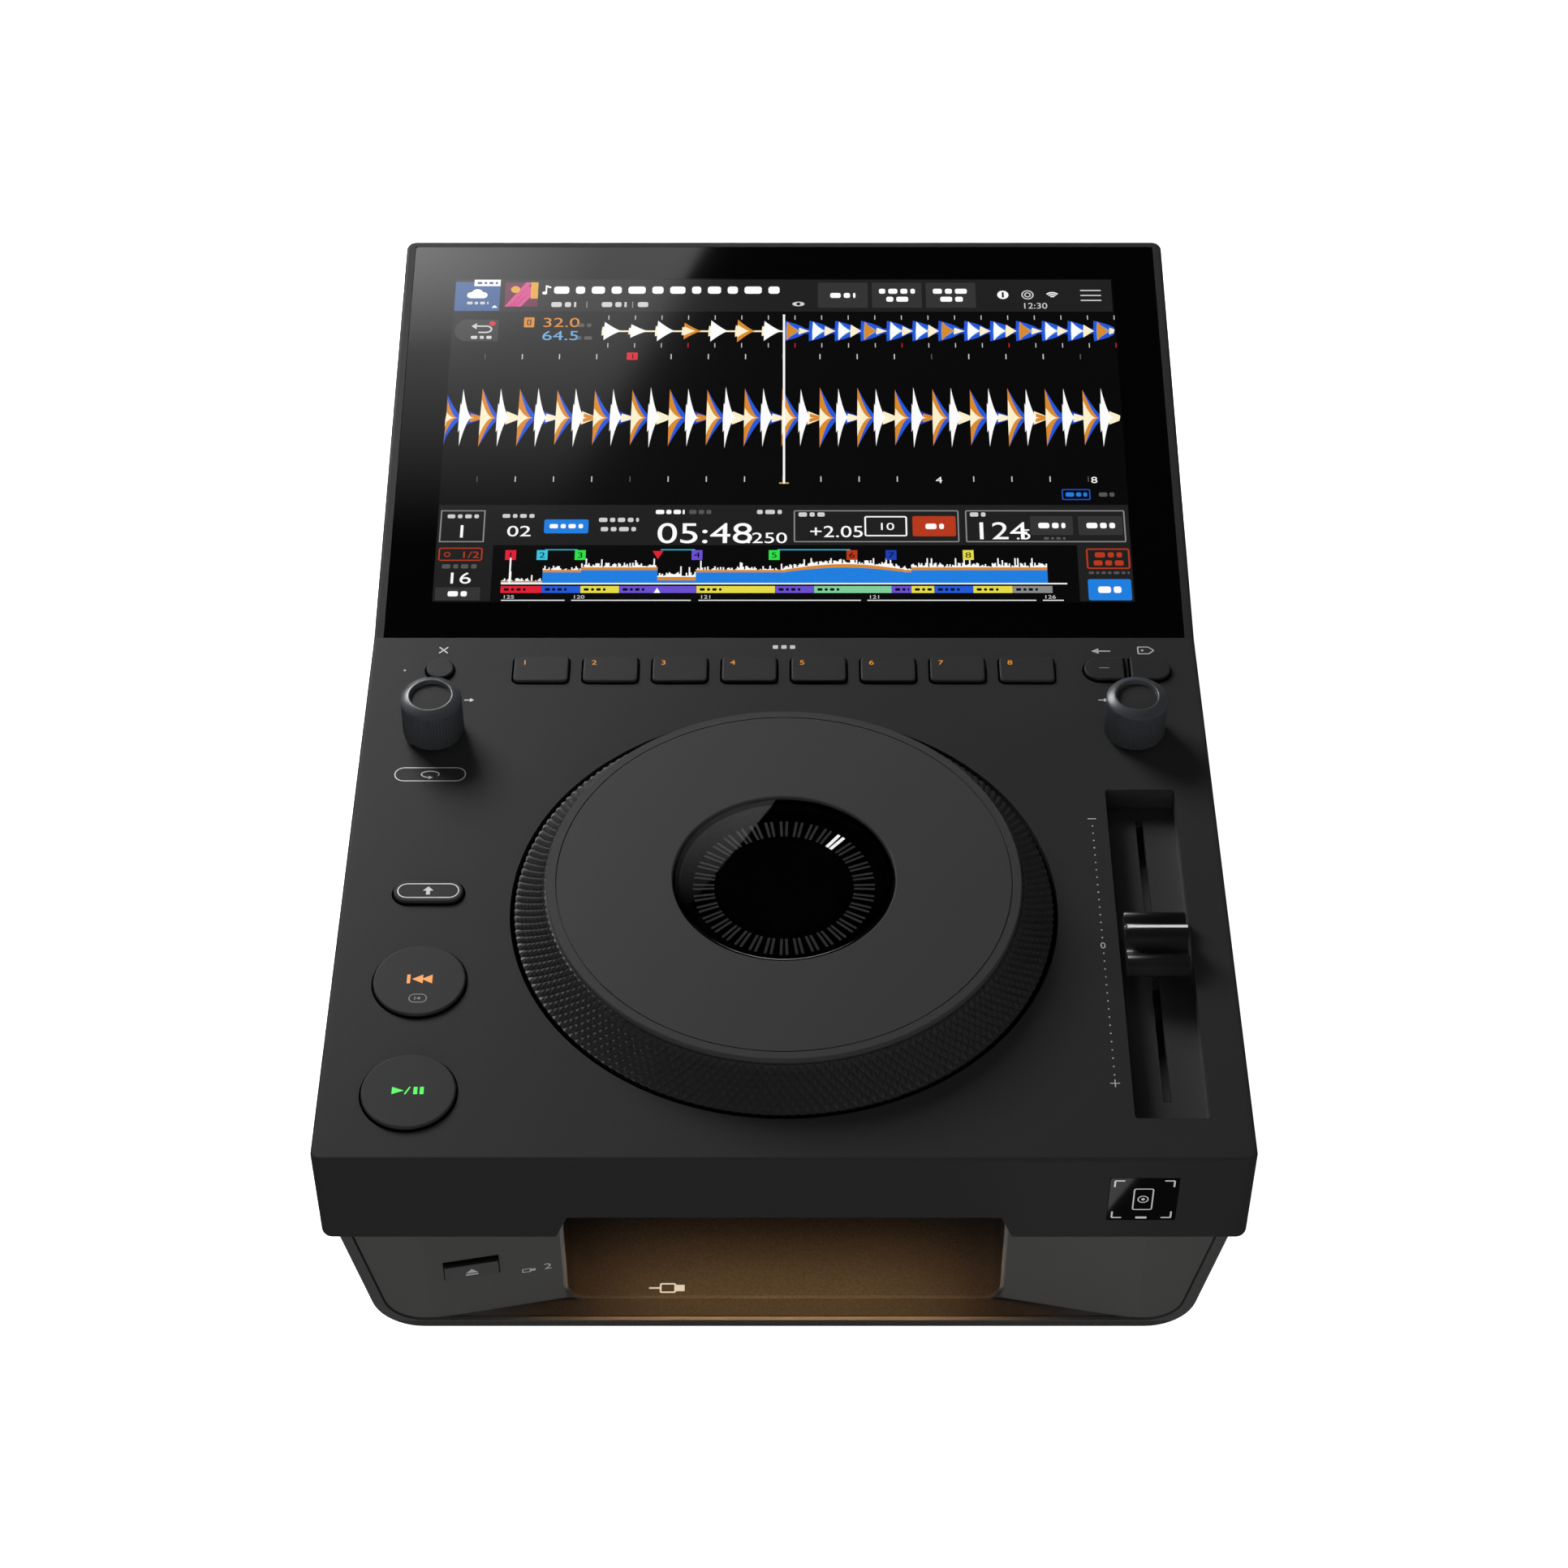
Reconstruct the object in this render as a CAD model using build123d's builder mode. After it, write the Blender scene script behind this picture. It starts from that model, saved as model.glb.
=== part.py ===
"""Tabletop DJ media player: jog wheel, sloping touch screen, tempo fader and a lit USB bay.

Millimetres, +Z up, +X to the player's right, +Y to the back. The origin is the middle of the
footprint, on the surface that the feet stand on. Most pieces are placed on three planes:
deck (level top), slope (screen) and front (front face), each measured from the deck's front edge
or from the fold between deck and screen.
"""
import os
from math import atan2, cos, radians, sin, tan

from build123d import *

os.makedirs("parts", exist_ok=True)

# ---------------------------------------------------------------- driving dimensions
# Case
body_width = 250.0
deck_length = 201.5
screen_length = 164.4
screen_tilt = 10.33
front_height = 34.6
lower_height = 44.2
foot_height = 4.0
wall = 2.5
deck_thickness = 3.0
slope_thickness = 4.5
case_corner_radius = 3.0
top_edge_radius = 1.0
bottom_edge_radius = 0.8
lower_rim_radius = 2.0
rear_inset = 10.0
rear_lip_thickness = 3.0
rear_lip_rise = 14.0

# Hull-shaped lower case
lower_overhang = 3.0
lower_side_inset = 3.7
lower_taper = 11.8
lower_corner_radius = 14.0
lower_wall = 3.3
lower_edge_radius = 0.6

# Lit bay under the front edge
notch_height = 9.7
notch_half_width = 58.3
notch_flare = 3.8
bay_half_width = 60.8
bay_depth = 42.0
bay_corner_radius = 6.0
bay_wall = 2.2
bay_floor_thickness = 1.3
bay_lip = 1.2
bay_seat_step = 1.4
light_length = 100.0
light_width = 4.0
light_height = 1.2
light_setback = 6.0
facet_side_margin = 26.5
facet_depth = 7.0
facet_inset = 0.6
parting_gap = 0.35

# Screen
glass_thickness = 1.8
glass_side_rim = 3.1
glass_top_rim = 2.7
glass_fold_gap = 0.2
glass_gap = 0.15
module_side_rim = 10.5
module_length = 149.0
module_thickness = 4.0
module_start = 6.0
bracket_wall = 3.0
bracket_plate = 1.2

# Jog wheel
jog_y = 90.93
jog_hole_radius = 77.2
jog_ring_radius = 75.9
jog_ring_low = 2.0
jog_ring_edge = 0.2
jog_ring_wall = 4.4
jog_shoulder_height = 10.2
jog_shoulder_radius = 67.2
jog_plate_radius = 66.5
jog_plate_thickness = 1.6
jog_plate_bore = 31.24
jog_sleeve_wall = 1.8
jog_groove_radius = 63.7
jog_groove_width = 0.3
jog_shelf_width = 7.0
jog_post_radius = 30.7
jog_lens_drop = 0.4
jog_lens_thickness = 1.5
jog_display_gap = 3.0
jog_display_thickness = 2.4
jog_display_radius = 29.2
jog_bearing_wall = 3.25
jog_hub_wall = 3.0
jog_hub_plate = 2.0
jog_base_depth = 18.0
jog_base_wall = 2.0
jog_boss_height = 6.0
jog_ear_reach = 7.8
jog_bowl_clearance = 1.4
jog_post_wall = 1.4
running_clearance = 0.05
knurl_count = 120
knurl_depth = 0.45

# Encoder disc and its sensor
disc_radius = 50.0
disc_thickness = 1.0
disc_drop = 5.0
disc_slot_count = 48
sensor_height = 7.0

# Knobs
knob_column_offset = 2.5
knob_y = 160.4
knob_radius = 9.0
knob_top = 15.5
knob_bottom = 1.2
knob_dish_radius = 6.4
knob_dish_floor_radius = 5.4
knob_dish_depth = 1.5
knob_skirt_wall = 2.0
knob_roof = 2.5
knob_hub_radius = 4.6
knob_flutes = 40
knob_flute_radius = 0.42
knob_travel = 0.6
shaft_radius = 3.0
spindle_radius = 2.0
rotor_radius = 3.0
encoder_size = 12.5
encoder_height = 6.5
encoder_bush_radius = 3.9

# Keys
pad_count = 8
pad_row_margin = 43.57
pad_gap = 4.5
pad_depth = 10.8
pad_y = 187.0
pad_corner = 1.6
pad_height = 1.0
key_height = 1.2
key_clearance = 0.25
deck_key_gap = 0.6
key_edge_radius = 0.5
key_flange = 1.0
key_flange_thickness = 1.2
key_stem_radius = 1.7
key_travel = 0.5
play_radius = 12.75
play_column_offset = -0.6
play_y = 22.5
cue_y = 62.0
shift_y = 95.4
shift_length = 19.7
shift_width = 8.2
delete_radius = 4.1
delete_column_offset = 2.6
pair_radius = 4.8
pair_side_margin = 8.6
back_length = 13.0
tag_length = 12.9
pair_gap = 2.0
eject_width = 15.0
eject_height = 7.4
eject_facet_offset = 12.3
eject_drop = 55.0
eject_shelf_depth = 9.0
power_radius = 5.0
power_travel = 2.0

# Switches and boards
switch_size = 6.0
switch_height = 3.5
board_thickness = 1.6
board_drop = 12.0
boss_radius = 2.2
board_side_gap = 4.5
pad_strip_depth = 24.0
pad_strip_back = 200.0
pad_wing_width = 28.4
pad_wing_depth = 50.0
pad_boss_x = 50.0
deck_board_post_gap = 1.1
deck_board_margin = 6.0
main_board_drop = 20.0
main_board_side_margin = 33.0
main_board_inlet_gap = 4.5
main_board_start = 228.0
supply_x = -16.0
supply_y = 282.0
supply_width = 126.0
supply_depth = 86.0
supply_rise = 5.0
chip_height = 1.4
strip_chip_width = 12.0
strip_chip_depth = 9.0
strip_chip_spacing = 50.0
ribbon_width = 8.0
ribbon_length = 14.0
ribbon_height = 3.0
processor_size = 24.0
processor_height = 1.8
processor_inset = 32.0
processor_setback = 34.0
cooler_fins = 7
cooler_pitch = 3.0
cooler_fin_width = 1.2
cooler_height = 7.0
memory_width = 14.0
memory_length = 22.0
memory_offset = 38.0
memory_pitch = 18.0
clock_size = 10.0
rear_row_offset = 38.0
display_plug_width = 9.0
display_plug_length = 26.0
display_plug_height = 4.0
display_plug_inset = 20.0
transformer_width = 30.0
transformer_depth = 26.0
transformer_height = 24.0
filter_width = 16.0
filter_depth = 12.0
filter_height = 14.0
supply_edge_gap = 7.0
supply_row_gap = 3.0
cooling_plate_width = 4.0
cooling_plate_length = 34.0
cooling_plate_height = 22.0
main_can_radius = 9.0
main_can_height = 25.0
output_can_radius = 6.0
output_can_height = 18.0
usb_board_width = 60.0
usb_board_depth = 42.0
usb_board_start = 48.0

# Tempo fader
fader_column_offset = 2.4
fader_y = 75.3
fader_travel = 50.0
fader_recess_width = 20.2
fader_recess_length = 122.6
fader_recess_depth = 7.5
fader_recess_corner = 1.0
fader_tray_wall = 1.5
fader_slot_width = 2.2
fader_slot_length = 105.5
fader_slot_offset = 2.95
fader_blade_width = 4.5
fader_blade_thickness = 1.2
fader_body_width = 9.0
fader_body_length = 128.0
fader_body_height = 11.0
fader_body_wall = 0.8
cap_width = 17.4
cap_length = 21.5
cap_top = 8.4
cap_bottom = -0.5
cap_lobe_top = 4.6
cap_ridge = 2.6
cap_valley = 3.0
cap_foot = 2.6
cap_edge = 0.9
blade_top = 2.0
carriage_length = 12.0
carriage_height = 5.0

# Reader window in the front face
reader_side_margin = 29.3
reader_drop = 16.85
reader_width = 18.2
reader_height = 17.9
reader_flange = 1.5

# Screws, posts and sockets
screw_radius = 1.45
screw_length = 8.0
screw_head_radius = 2.8
screw_head_height = 1.8
screw_play = 0.05
post_radius = 4.5
post_seat = 3.0
front_post_column_offset = 15.1
front_post_y = 42.25
middle_post_column_offset = 14.6
middle_post_y = 140.0
rear_post_margin = 25.0
rear_post_setback = 28.2
foot_radius = 9.0
foot_side_margin = 40.0
front_foot_y = 26.0
rear_foot_setback = 21.2
foot_edge_radius = 1.0
rear_plate_thickness = 1.5
rear_lug_size = 8.0
rear_lug_drops = (-26.0, 5.0)
usb_x = -32.0
usb_rise = 9.6
usb_width = 13.1
usb_height = 5.7
usb_depth = 14.0
usb_shell = 0.4
usb_tongue = 1.8
inlet_side_margin = 47.0
inlet_z = -11.0
inlet_width = 27.0
inlet_height = 20.0
inlet_mouth_width = 23.0
inlet_mouth_height = 15.6
inlet_body_depth = 25.0
inlet_mouth_depth = 17.0
power_inlet_spacing = 26.0
power_z = -11.0
power_reach = 3.0
power_switch_size = 14.0
power_switch_depth = 8.0
network_x = 10.0
network_width = 16.0
network_height = 13.5
network_depth = 16.0
rear_usb_x = -18.0
audio_board_inset = 30.0
audio_spacing = 14.0
audio_width = 26.0
audio_height = 12.0
audio_depth = 10.0
barrel_radius = 4.15
barrel_length = 8.5
barrel_bore = 1.6

# ---------------------------------------------------------------- derived places
tilt = radians(screen_tilt)
case_depth = deck_length + screen_length * cos(tilt)
front_y = -case_depth / 2
fold_y = front_y + deck_length
rear_y = front_y + case_depth
split_z = foot_height + lower_height
deck_z = split_z + front_height
rear_top_z = deck_z + screen_length * sin(tilt)
deck = Plane(origin=(0, front_y, deck_z), x_dir=(1, 0, 0), z_dir=(0, 0, 1))
slope = Plane(origin=(0, fold_y, deck_z), x_dir=(1, 0, 0), z_dir=(0, -sin(tilt), cos(tilt)))
front = Plane(origin=(0, front_y, deck_z), x_dir=(1, 0, 0), z_dir=(0, -1, 0))
half_width = body_width / 2
inner_half = half_width - wall
column_x = (jog_hole_radius + half_width) / 2
knob_x = column_x + knob_column_offset
fader_x = column_x + fader_column_offset
play_x = -(column_x + play_column_offset)
delete_x = -(column_x + delete_column_offset)
pair_right = half_width - pair_side_margin
pair_split = pair_right - tag_length
pair_left = pair_split - back_length
pad_pitch = (body_width - 2 * pad_row_margin + pad_gap) / pad_count
pad_width = pad_pitch - pad_gap
reader_x = half_width - reader_side_margin
inlet_x = half_width - inlet_side_margin
power_x = inlet_x - power_inlet_spacing
facet_half_span = half_width - facet_side_margin
eject_x = eject_facet_offset - facet_half_span
jog_ear_radius = jog_hole_radius + jog_ear_reach
module_width = body_width - 2 * module_side_rim
front_post_x = column_x - front_post_column_offset
middle_post_x = column_x - middle_post_column_offset
rear_post_x = half_width - rear_post_margin
foot_x = half_width - foot_side_margin
main_board_left = main_board_side_margin - half_width
main_board_right = inlet_x - inlet_width / 2 - main_board_inlet_gap
audio_x = main_board_left + audio_board_inset
floor_z = foot_height + lower_wall
bay_floor_z = floor_z - 0.1
bay_ceiling_z = split_z + notch_height
key_under = deck_thickness + 0.1
flange_bottom = key_under + key_flange_thickness
switch_top = board_drop - switch_height
stem_end = switch_top - key_travel - 0.1
rear_plate_y = rear_y - rear_inset
rear_ledge_depth = rear_inset + rear_plate_thickness + 1.0
rear_plane = Plane(origin=(0, rear_plate_y, deck_z), x_dir=(-1, 0, 0), z_dir=(0, 1, 0))


def finish(piece, name):
    """Label a finished piece and write it to its own file."""
    piece.part.label = name
    export_step(piece.part, f"parts/{name}.step")


def on_slope(along, depth):
    """(Y, Z) of a point that far up the screen slope and that deep below it."""
    return (
        fold_y + along * cos(tilt) + depth * sin(tilt),
        deck_z + along * sin(tilt) - depth * cos(tilt),
    )


def under_slope(y, depth):
    """Height, at a given Y, of the plane that lies that deep below the screen slope."""
    along = (y - fold_y - depth * sin(tilt)) / cos(tilt)
    return on_slope(along, depth)[1]


# ---------------------------------------------------------------- key outlines, drawn at a place
def pad_outline(grow):
    """Rounded rectangle of a performance pad."""
    RectangleRounded(pad_width + 2 * grow, pad_depth + 2 * grow, pad_corner + grow)


def play_outline(grow):
    """Circle of the cue and play buttons."""
    Circle(play_radius + grow)


def delete_outline(grow):
    """Small round button."""
    Circle(delete_radius + grow)


def shift_outline(grow):
    """Full pill."""
    SlotOverall(shift_length + 2 * grow, shift_width + 2 * grow)


pair_left_reach = pair_split - pair_gap / 2 - pair_left - pair_radius
pair_right_reach = pair_right - pair_radius - pair_split - pair_gap / 2


def back_outline(grow):
    """Left half of the split pill, drawn about the middle of its round end."""
    Circle(pair_radius + grow)
    Rectangle(pair_left_reach + grow, 2 * (pair_radius + grow), align=(Align.MIN, Align.CENTER))


def tag_outline(grow):
    """Right half of the split pill, drawn about the middle of its round end."""
    Circle(pair_radius + grow)
    Rectangle(pair_right_reach + grow, 2 * (pair_radius + grow), align=(Align.MAX, Align.CENTER))


pad_places = [((i - (pad_count - 1) / 2) * pad_pitch, pad_y) for i in range(pad_count)]
keys = [(f"pad_{i + 1}", place, pad_outline, pad_height) for i, place in enumerate(pad_places)]
keys += [
    ("delete_button", (delete_x, pad_y), delete_outline, key_height),
    ("back_button", (pair_left + pair_radius, pad_y), back_outline, key_height),
    ("tag_button", (pair_right - pair_radius, pad_y), tag_outline, key_height),
    ("shift_button", (play_x, shift_y), shift_outline, key_height),
    ("cue_button", (play_x, cue_y), play_outline, key_height),
    ("play_button", (play_x, play_y), play_outline, key_height),
]

# Places of posts, bosses and screws, as X and distance behind the front edge
sides = (-1, 1)
rear_post_y = case_depth - rear_post_setback
inner_posts = [(side * front_post_x, front_post_y) for side in sides]
inner_posts += [(side * middle_post_x, middle_post_y) for side in sides]
rear_posts = [(side * rear_post_x, rear_post_y) for side in sides]
case_posts = inner_posts + rear_posts
jog_ears = [
    (jog_ear_radius * cos(radians(turn)), jog_y + jog_ear_radius * sin(radians(turn)))
    for turn in (45, 135, 225, 315)
]
board_half = inner_half - board_side_gap
jog_base_radius = jog_hole_radius + jog_bowl_clearance + jog_base_wall
deck_board_width = board_half - front_post_x - post_radius - deck_board_post_gap
edge_boss = boss_radius + 0.3
wing_boss_y = (pad_y + knob_y) / 2 - 1.7
pad_board_bosses = [(side * pad_boss_x, pad_strip_back - edge_boss) for side in sides]
for side in sides:
    pad_board_bosses += [
        (side * (board_half - edge_boss), wing_boss_y),
        (side * (board_half - pad_wing_width + edge_boss), wing_boss_y),
    ]
deck_board_bosses = [
    (-board_half + edge_boss, (play_y + cue_y) / 2),
    (-board_half + deck_board_width - edge_boss - 0.5, (play_y + cue_y) / 2),
    (play_x, (cue_y + play_radius + shift_y - shift_width / 2) / 2),
]
rear_lug_x = inner_half - rear_lug_size / 2
main_board_back = case_depth - rear_inset - rear_plate_thickness - 0.3
post_margin = 5.0
board_posts = [
    (x, y)
    for x in (main_board_left + post_margin, main_board_right - post_margin)
    for y in (main_board_start + 2 * post_margin, main_board_back - 5 * post_margin)
]
supply_posts = [
    (supply_x + side * (supply_width / 2 - post_margin), supply_y + end * (supply_depth / 2 - post_margin))
    for side in sides
    for end in sides
]

# Centres of the rear sockets, as X and height over the deck
inlet_place = (inlet_x, inlet_z)
power_place = (power_x, power_z)
network_place = (network_x, -main_board_drop + network_height / 2)
rear_usb_place = (rear_usb_x, -main_board_drop + usb_height / 2)
audio_place = (audio_x, -main_board_drop + audio_height / 2)

# Bay fittings
usb_z = bay_floor_z + usb_rise
usb_board_z = usb_z - usb_height / 2 - board_thickness
usb_posts = [
    (usb_x + side * (usb_board_width / 2 - post_margin), y)
    for side in sides
    for y in (usb_board_start + 3 * post_margin, usb_board_start + usb_board_depth - post_margin)
]
eject_z = -eject_drop
facet_angle = atan2(facet_depth, facet_half_span - bay_half_width)
eject_along = facet_half_span + eject_x
facet = Plane(
    origin=(
        eject_x,
        front_y + lower_overhang + facet_inset + eject_along * tan(facet_angle),
        deck_z,
    ),
    x_dir=(cos(facet_angle), sin(facet_angle), 0),
    z_dir=(sin(facet_angle), -cos(facet_angle), 0),
)


# ---------------------------------------------------------------- case
def build_top_panel():
    """Upper case: deck, front face, side walls and the frame round the sloping screen."""
    with BuildPart() as panel:
        with BuildSketch(Plane.YZ):
            with BuildLine():
                Polyline(
                    (front_y, split_z), (front_y, deck_z), (fold_y, deck_z),
                    (rear_y, rear_top_z), (rear_y, split_z), close=True,
                )
            make_face()
        extrude(amount=half_width, both=True)
        fillet(panel.edges().filter_by(Axis.Z), case_corner_radius)
        rims = panel.faces().sort_by(Axis.Z)[-2:].edges()
        fold = panel.edges().filter_by(Axis.X).filter_by_position(Axis.Y, fold_y - 1, fold_y + 1)
        fillet([edge for edge in rims if edge not in fold], top_edge_radius)
        fillet(panel.faces().sort_by(Axis.Z)[0].edges(), lower_rim_radius)

        # Hollow inside, open below and behind
        with BuildSketch(Plane.YZ):
            with BuildLine():
                Polyline(
                    (front_y + wall, split_z - 1), (front_y + wall, deck_z - deck_thickness),
                    (fold_y - wall, deck_z - deck_thickness), on_slope(0, slope_thickness),
                    on_slope(screen_length + wall, slope_thickness),
                    (rear_y + wall, split_z - 1), close=True,
                )
            make_face()
        extrude(amount=inner_half, both=True, mode=Mode.SUBTRACT)

        # Lip that hangs from the rear edge of the sloping slab
        with Locations((0, rear_y, rear_top_z - slope_thickness / 2)):
            Box(2 * inner_half + 1, rear_lip_thickness,
                rear_top_z - slope_thickness / 2 - deck_z - rear_lip_rise,
                align=(Align.CENTER, Align.MAX, Align.MAX))

        # Glass recess and the window for the display under it
        glass_end = screen_length - glass_top_rim
        with BuildSketch(slope):
            with Locations((0, glass_end / 2)):
                Rectangle(body_width - 2 * glass_side_rim + 2 * glass_gap, glass_end)
        extrude(amount=-glass_thickness, mode=Mode.SUBTRACT)
        with BuildSketch(slope):
            with Locations((0, module_start + module_length / 2)):
                Rectangle(module_width + 2 * glass_gap, module_length + 2 * glass_gap)
        extrude(amount=-(slope_thickness + wall), mode=Mode.SUBTRACT)

        # Deck openings
        with BuildSketch(deck):
            with Locations((0, jog_y)):
                Circle(jog_hole_radius)
            with Locations((fader_x, fader_y)):
                RectangleRounded(fader_recess_width, fader_recess_length, fader_recess_corner)
            with Locations((-knob_x, knob_y), (knob_x, knob_y)):
                Circle(encoder_bush_radius + key_clearance)
            for name, place, outline, height in keys:
                with Locations(place):
                    outline(deck_key_gap)
        extrude(amount=-deck_thickness - 0.5, mode=Mode.SUBTRACT)

        # Reader window and the notch over the bay, in the front face
        with BuildSketch(front):
            with Locations((reader_x, -reader_drop)):
                Rectangle(reader_width + 2 * glass_gap, reader_height + 2 * glass_gap)
        extrude(amount=-wall - 0.5, mode=Mode.SUBTRACT)
        with BuildSketch(front):
            with BuildLine():
                Polyline(
                    (-notch_half_width - notch_flare, -front_height),
                    (-notch_half_width, -front_height + notch_height),
                    (notch_half_width, -front_height + notch_height),
                    (notch_half_width + notch_flare, -front_height), close=True,
                )
            make_face()
        extrude(amount=-wall - 0.5, mode=Mode.SUBTRACT)

        # Bosses for the case screws, the jog base, the key boards and the rear plate
        with BuildSketch(deck.offset(-front_height)):
            with Locations(*inner_posts):
                Circle(post_radius)
        extrude(amount=front_height - deck_thickness / 2)
        with BuildSketch(deck.offset(-front_height)):
            with Locations(*rear_posts):
                Circle(post_radius)
            for side in sides:
                with Locations((side * (rear_post_x + inner_half + 1) / 2, rear_post_y)):
                    Rectangle(inner_half + 1 - rear_post_x, wall)
        extrude(amount=front_height - main_board_drop)
        with BuildSketch(deck.offset(-deck_thickness - jog_boss_height)):
            with Locations(*jog_ears):
                Circle(post_radius - 1)
        extrude(amount=jog_boss_height + deck_thickness / 2)
        with BuildSketch(deck.offset(-board_drop)):
            with Locations(*pad_board_bosses, *deck_board_bosses):
                Circle(boss_radius)
        extrude(amount=board_drop - deck_thickness / 2)
        lug_front = rear_plate_y - rear_plate_thickness
        for side in sides:
            for drop in rear_lug_drops:
                with Locations((side * rear_lug_x, lug_front, deck_z + drop)):
                    Box(rear_lug_size + 1, screw_length + 2, rear_lug_size,
                        align=(Align.CENTER, Align.MAX, Align.CENTER))

        # Pilot holes
        with BuildSketch(deck.offset(-front_height)):
            with Locations(*case_posts):
                Circle(screw_radius + screw_play)
        extrude(amount=screw_length + 1, mode=Mode.SUBTRACT)
        with BuildSketch(deck.offset(-deck_thickness - jog_boss_height)):
            with Locations(*jog_ears):
                Circle(screw_radius + screw_play)
        extrude(amount=jog_boss_height, mode=Mode.SUBTRACT)
        with BuildSketch(Plane(origin=(0, lug_front, deck_z), x_dir=(1, 0, 0), z_dir=(0, -1, 0))):
            for drop in rear_lug_drops:
                with Locations((-rear_lug_x, drop), (rear_lug_x, drop)):
                    Circle(screw_radius + screw_play)
        extrude(amount=screw_length, mode=Mode.SUBTRACT)
    finish(panel, "top_panel")


def hull_outline(inset, top):
    """Front view of the hull-shaped lower case, drawn that far inside its outer faces."""
    slant = tan(radians(lower_taper))
    edge = inset / cos(radians(lower_taper))
    low = foot_height + inset
    top_x = half_width - lower_side_inset - edge - (split_z - top) * slant
    low_x = half_width - lower_side_inset - edge - (split_z - low) * slant
    with BuildLine() as outline:
        FilletPolyline(
            (-top_x, top), (-low_x, low), (low_x, low), (top_x, top),
            radius=max(lower_corner_radius - inset, 1.0),
        )
        Line((-top_x, top), (top_x, top))
    return outline.edges()


lower_front = Plane(
    origin=(0, front_y + lower_overhang, 0), x_dir=(1, 0, 0), z_dir=(0, -1, 0)
)
lower_length = case_depth - 2 * lower_overhang


# Half width and length of the two steps of the bay's floor: wide in front, narrow in the pocket
bay_floor_steps = (
    (facet_half_span - bay_seat_step, facet_inset + facet_depth + bay_wall - bay_lip),
    (bay_half_width + bay_wall, bay_depth + bay_wall - bay_lip - parting_gap),
)


def build_lower_case():
    """Hull-shaped tray with long screw posts and standoffs, open above and at the front."""
    with BuildPart() as tray:
        with BuildSketch(lower_front):
            make_face(hull_outline(0, split_z))
        extrude(amount=-lower_length)
        outer_rims = tray.faces().filter_by(Axis.Y).edges().filter_by(
            lambda edge: edge.center().Z < split_z - 1
        )
        fillet(outer_rims, lower_edge_radius)
        with BuildSketch(lower_front.offset(1)):
            make_face(hull_outline(lower_wall, split_z + 1))
        extrude(amount=-(lower_length + 1 - lower_wall), mode=Mode.SUBTRACT)

        # Seat for the floor of the bay, behind a thin front lip
        for half, length in bay_floor_steps:
            with Locations((0, front_y + lower_overhang + bay_lip, bay_floor_z - bay_floor_thickness)):
                Box(2 * (half + parting_gap), length + 2 * parting_gap, lower_wall,
                    align=(Align.CENTER, Align.MIN, Align.MIN), mode=Mode.SUBTRACT)

        # Ledge that closes the recess behind the rear plate
        with Locations((0, rear_y - lower_overhang - 1, split_z)):
            Box(2 * (inner_half - lower_wall - 3), rear_ledge_depth - lower_overhang, wall,
                align=(Align.CENTER, Align.MAX, Align.MAX))

        # Screw posts, bored from below down to a seat for the screw head
        with BuildSketch(deck.offset(foot_height - deck_z)):
            with Locations(*case_posts):
                Circle(post_radius)
        extrude(amount=split_z - foot_height)
        with BuildSketch(deck.offset(foot_height - deck_z)):
            with Locations(*case_posts):
                Circle(screw_head_radius + 0.3)
        extrude(amount=split_z - foot_height - post_seat, mode=Mode.SUBTRACT)
        with BuildSketch(deck.offset(split_z - deck_z - post_seat)):
            with Locations(*case_posts):
                Circle(screw_radius + 0.2)
        extrude(amount=post_seat, mode=Mode.SUBTRACT)

        # Standoffs of the main board, the power supply and the USB board
        with BuildSketch(deck.offset(floor_z - deck_z - 1)):
            with Locations(*board_posts):
                Circle(boss_radius + 1)
        extrude(amount=deck_z - main_board_drop - board_thickness - floor_z + 1)
        with BuildSketch(deck.offset(floor_z - deck_z - 1)):
            with Locations(*supply_posts):
                Circle(boss_radius)
        extrude(amount=supply_rise + 1)
        with BuildSketch(deck.offset(floor_z - deck_z - 1)):
            with Locations(*usb_posts):
                Circle(boss_radius)
        extrude(amount=usb_board_z - floor_z + 1)
    finish(tray, "lower_case")


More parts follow.
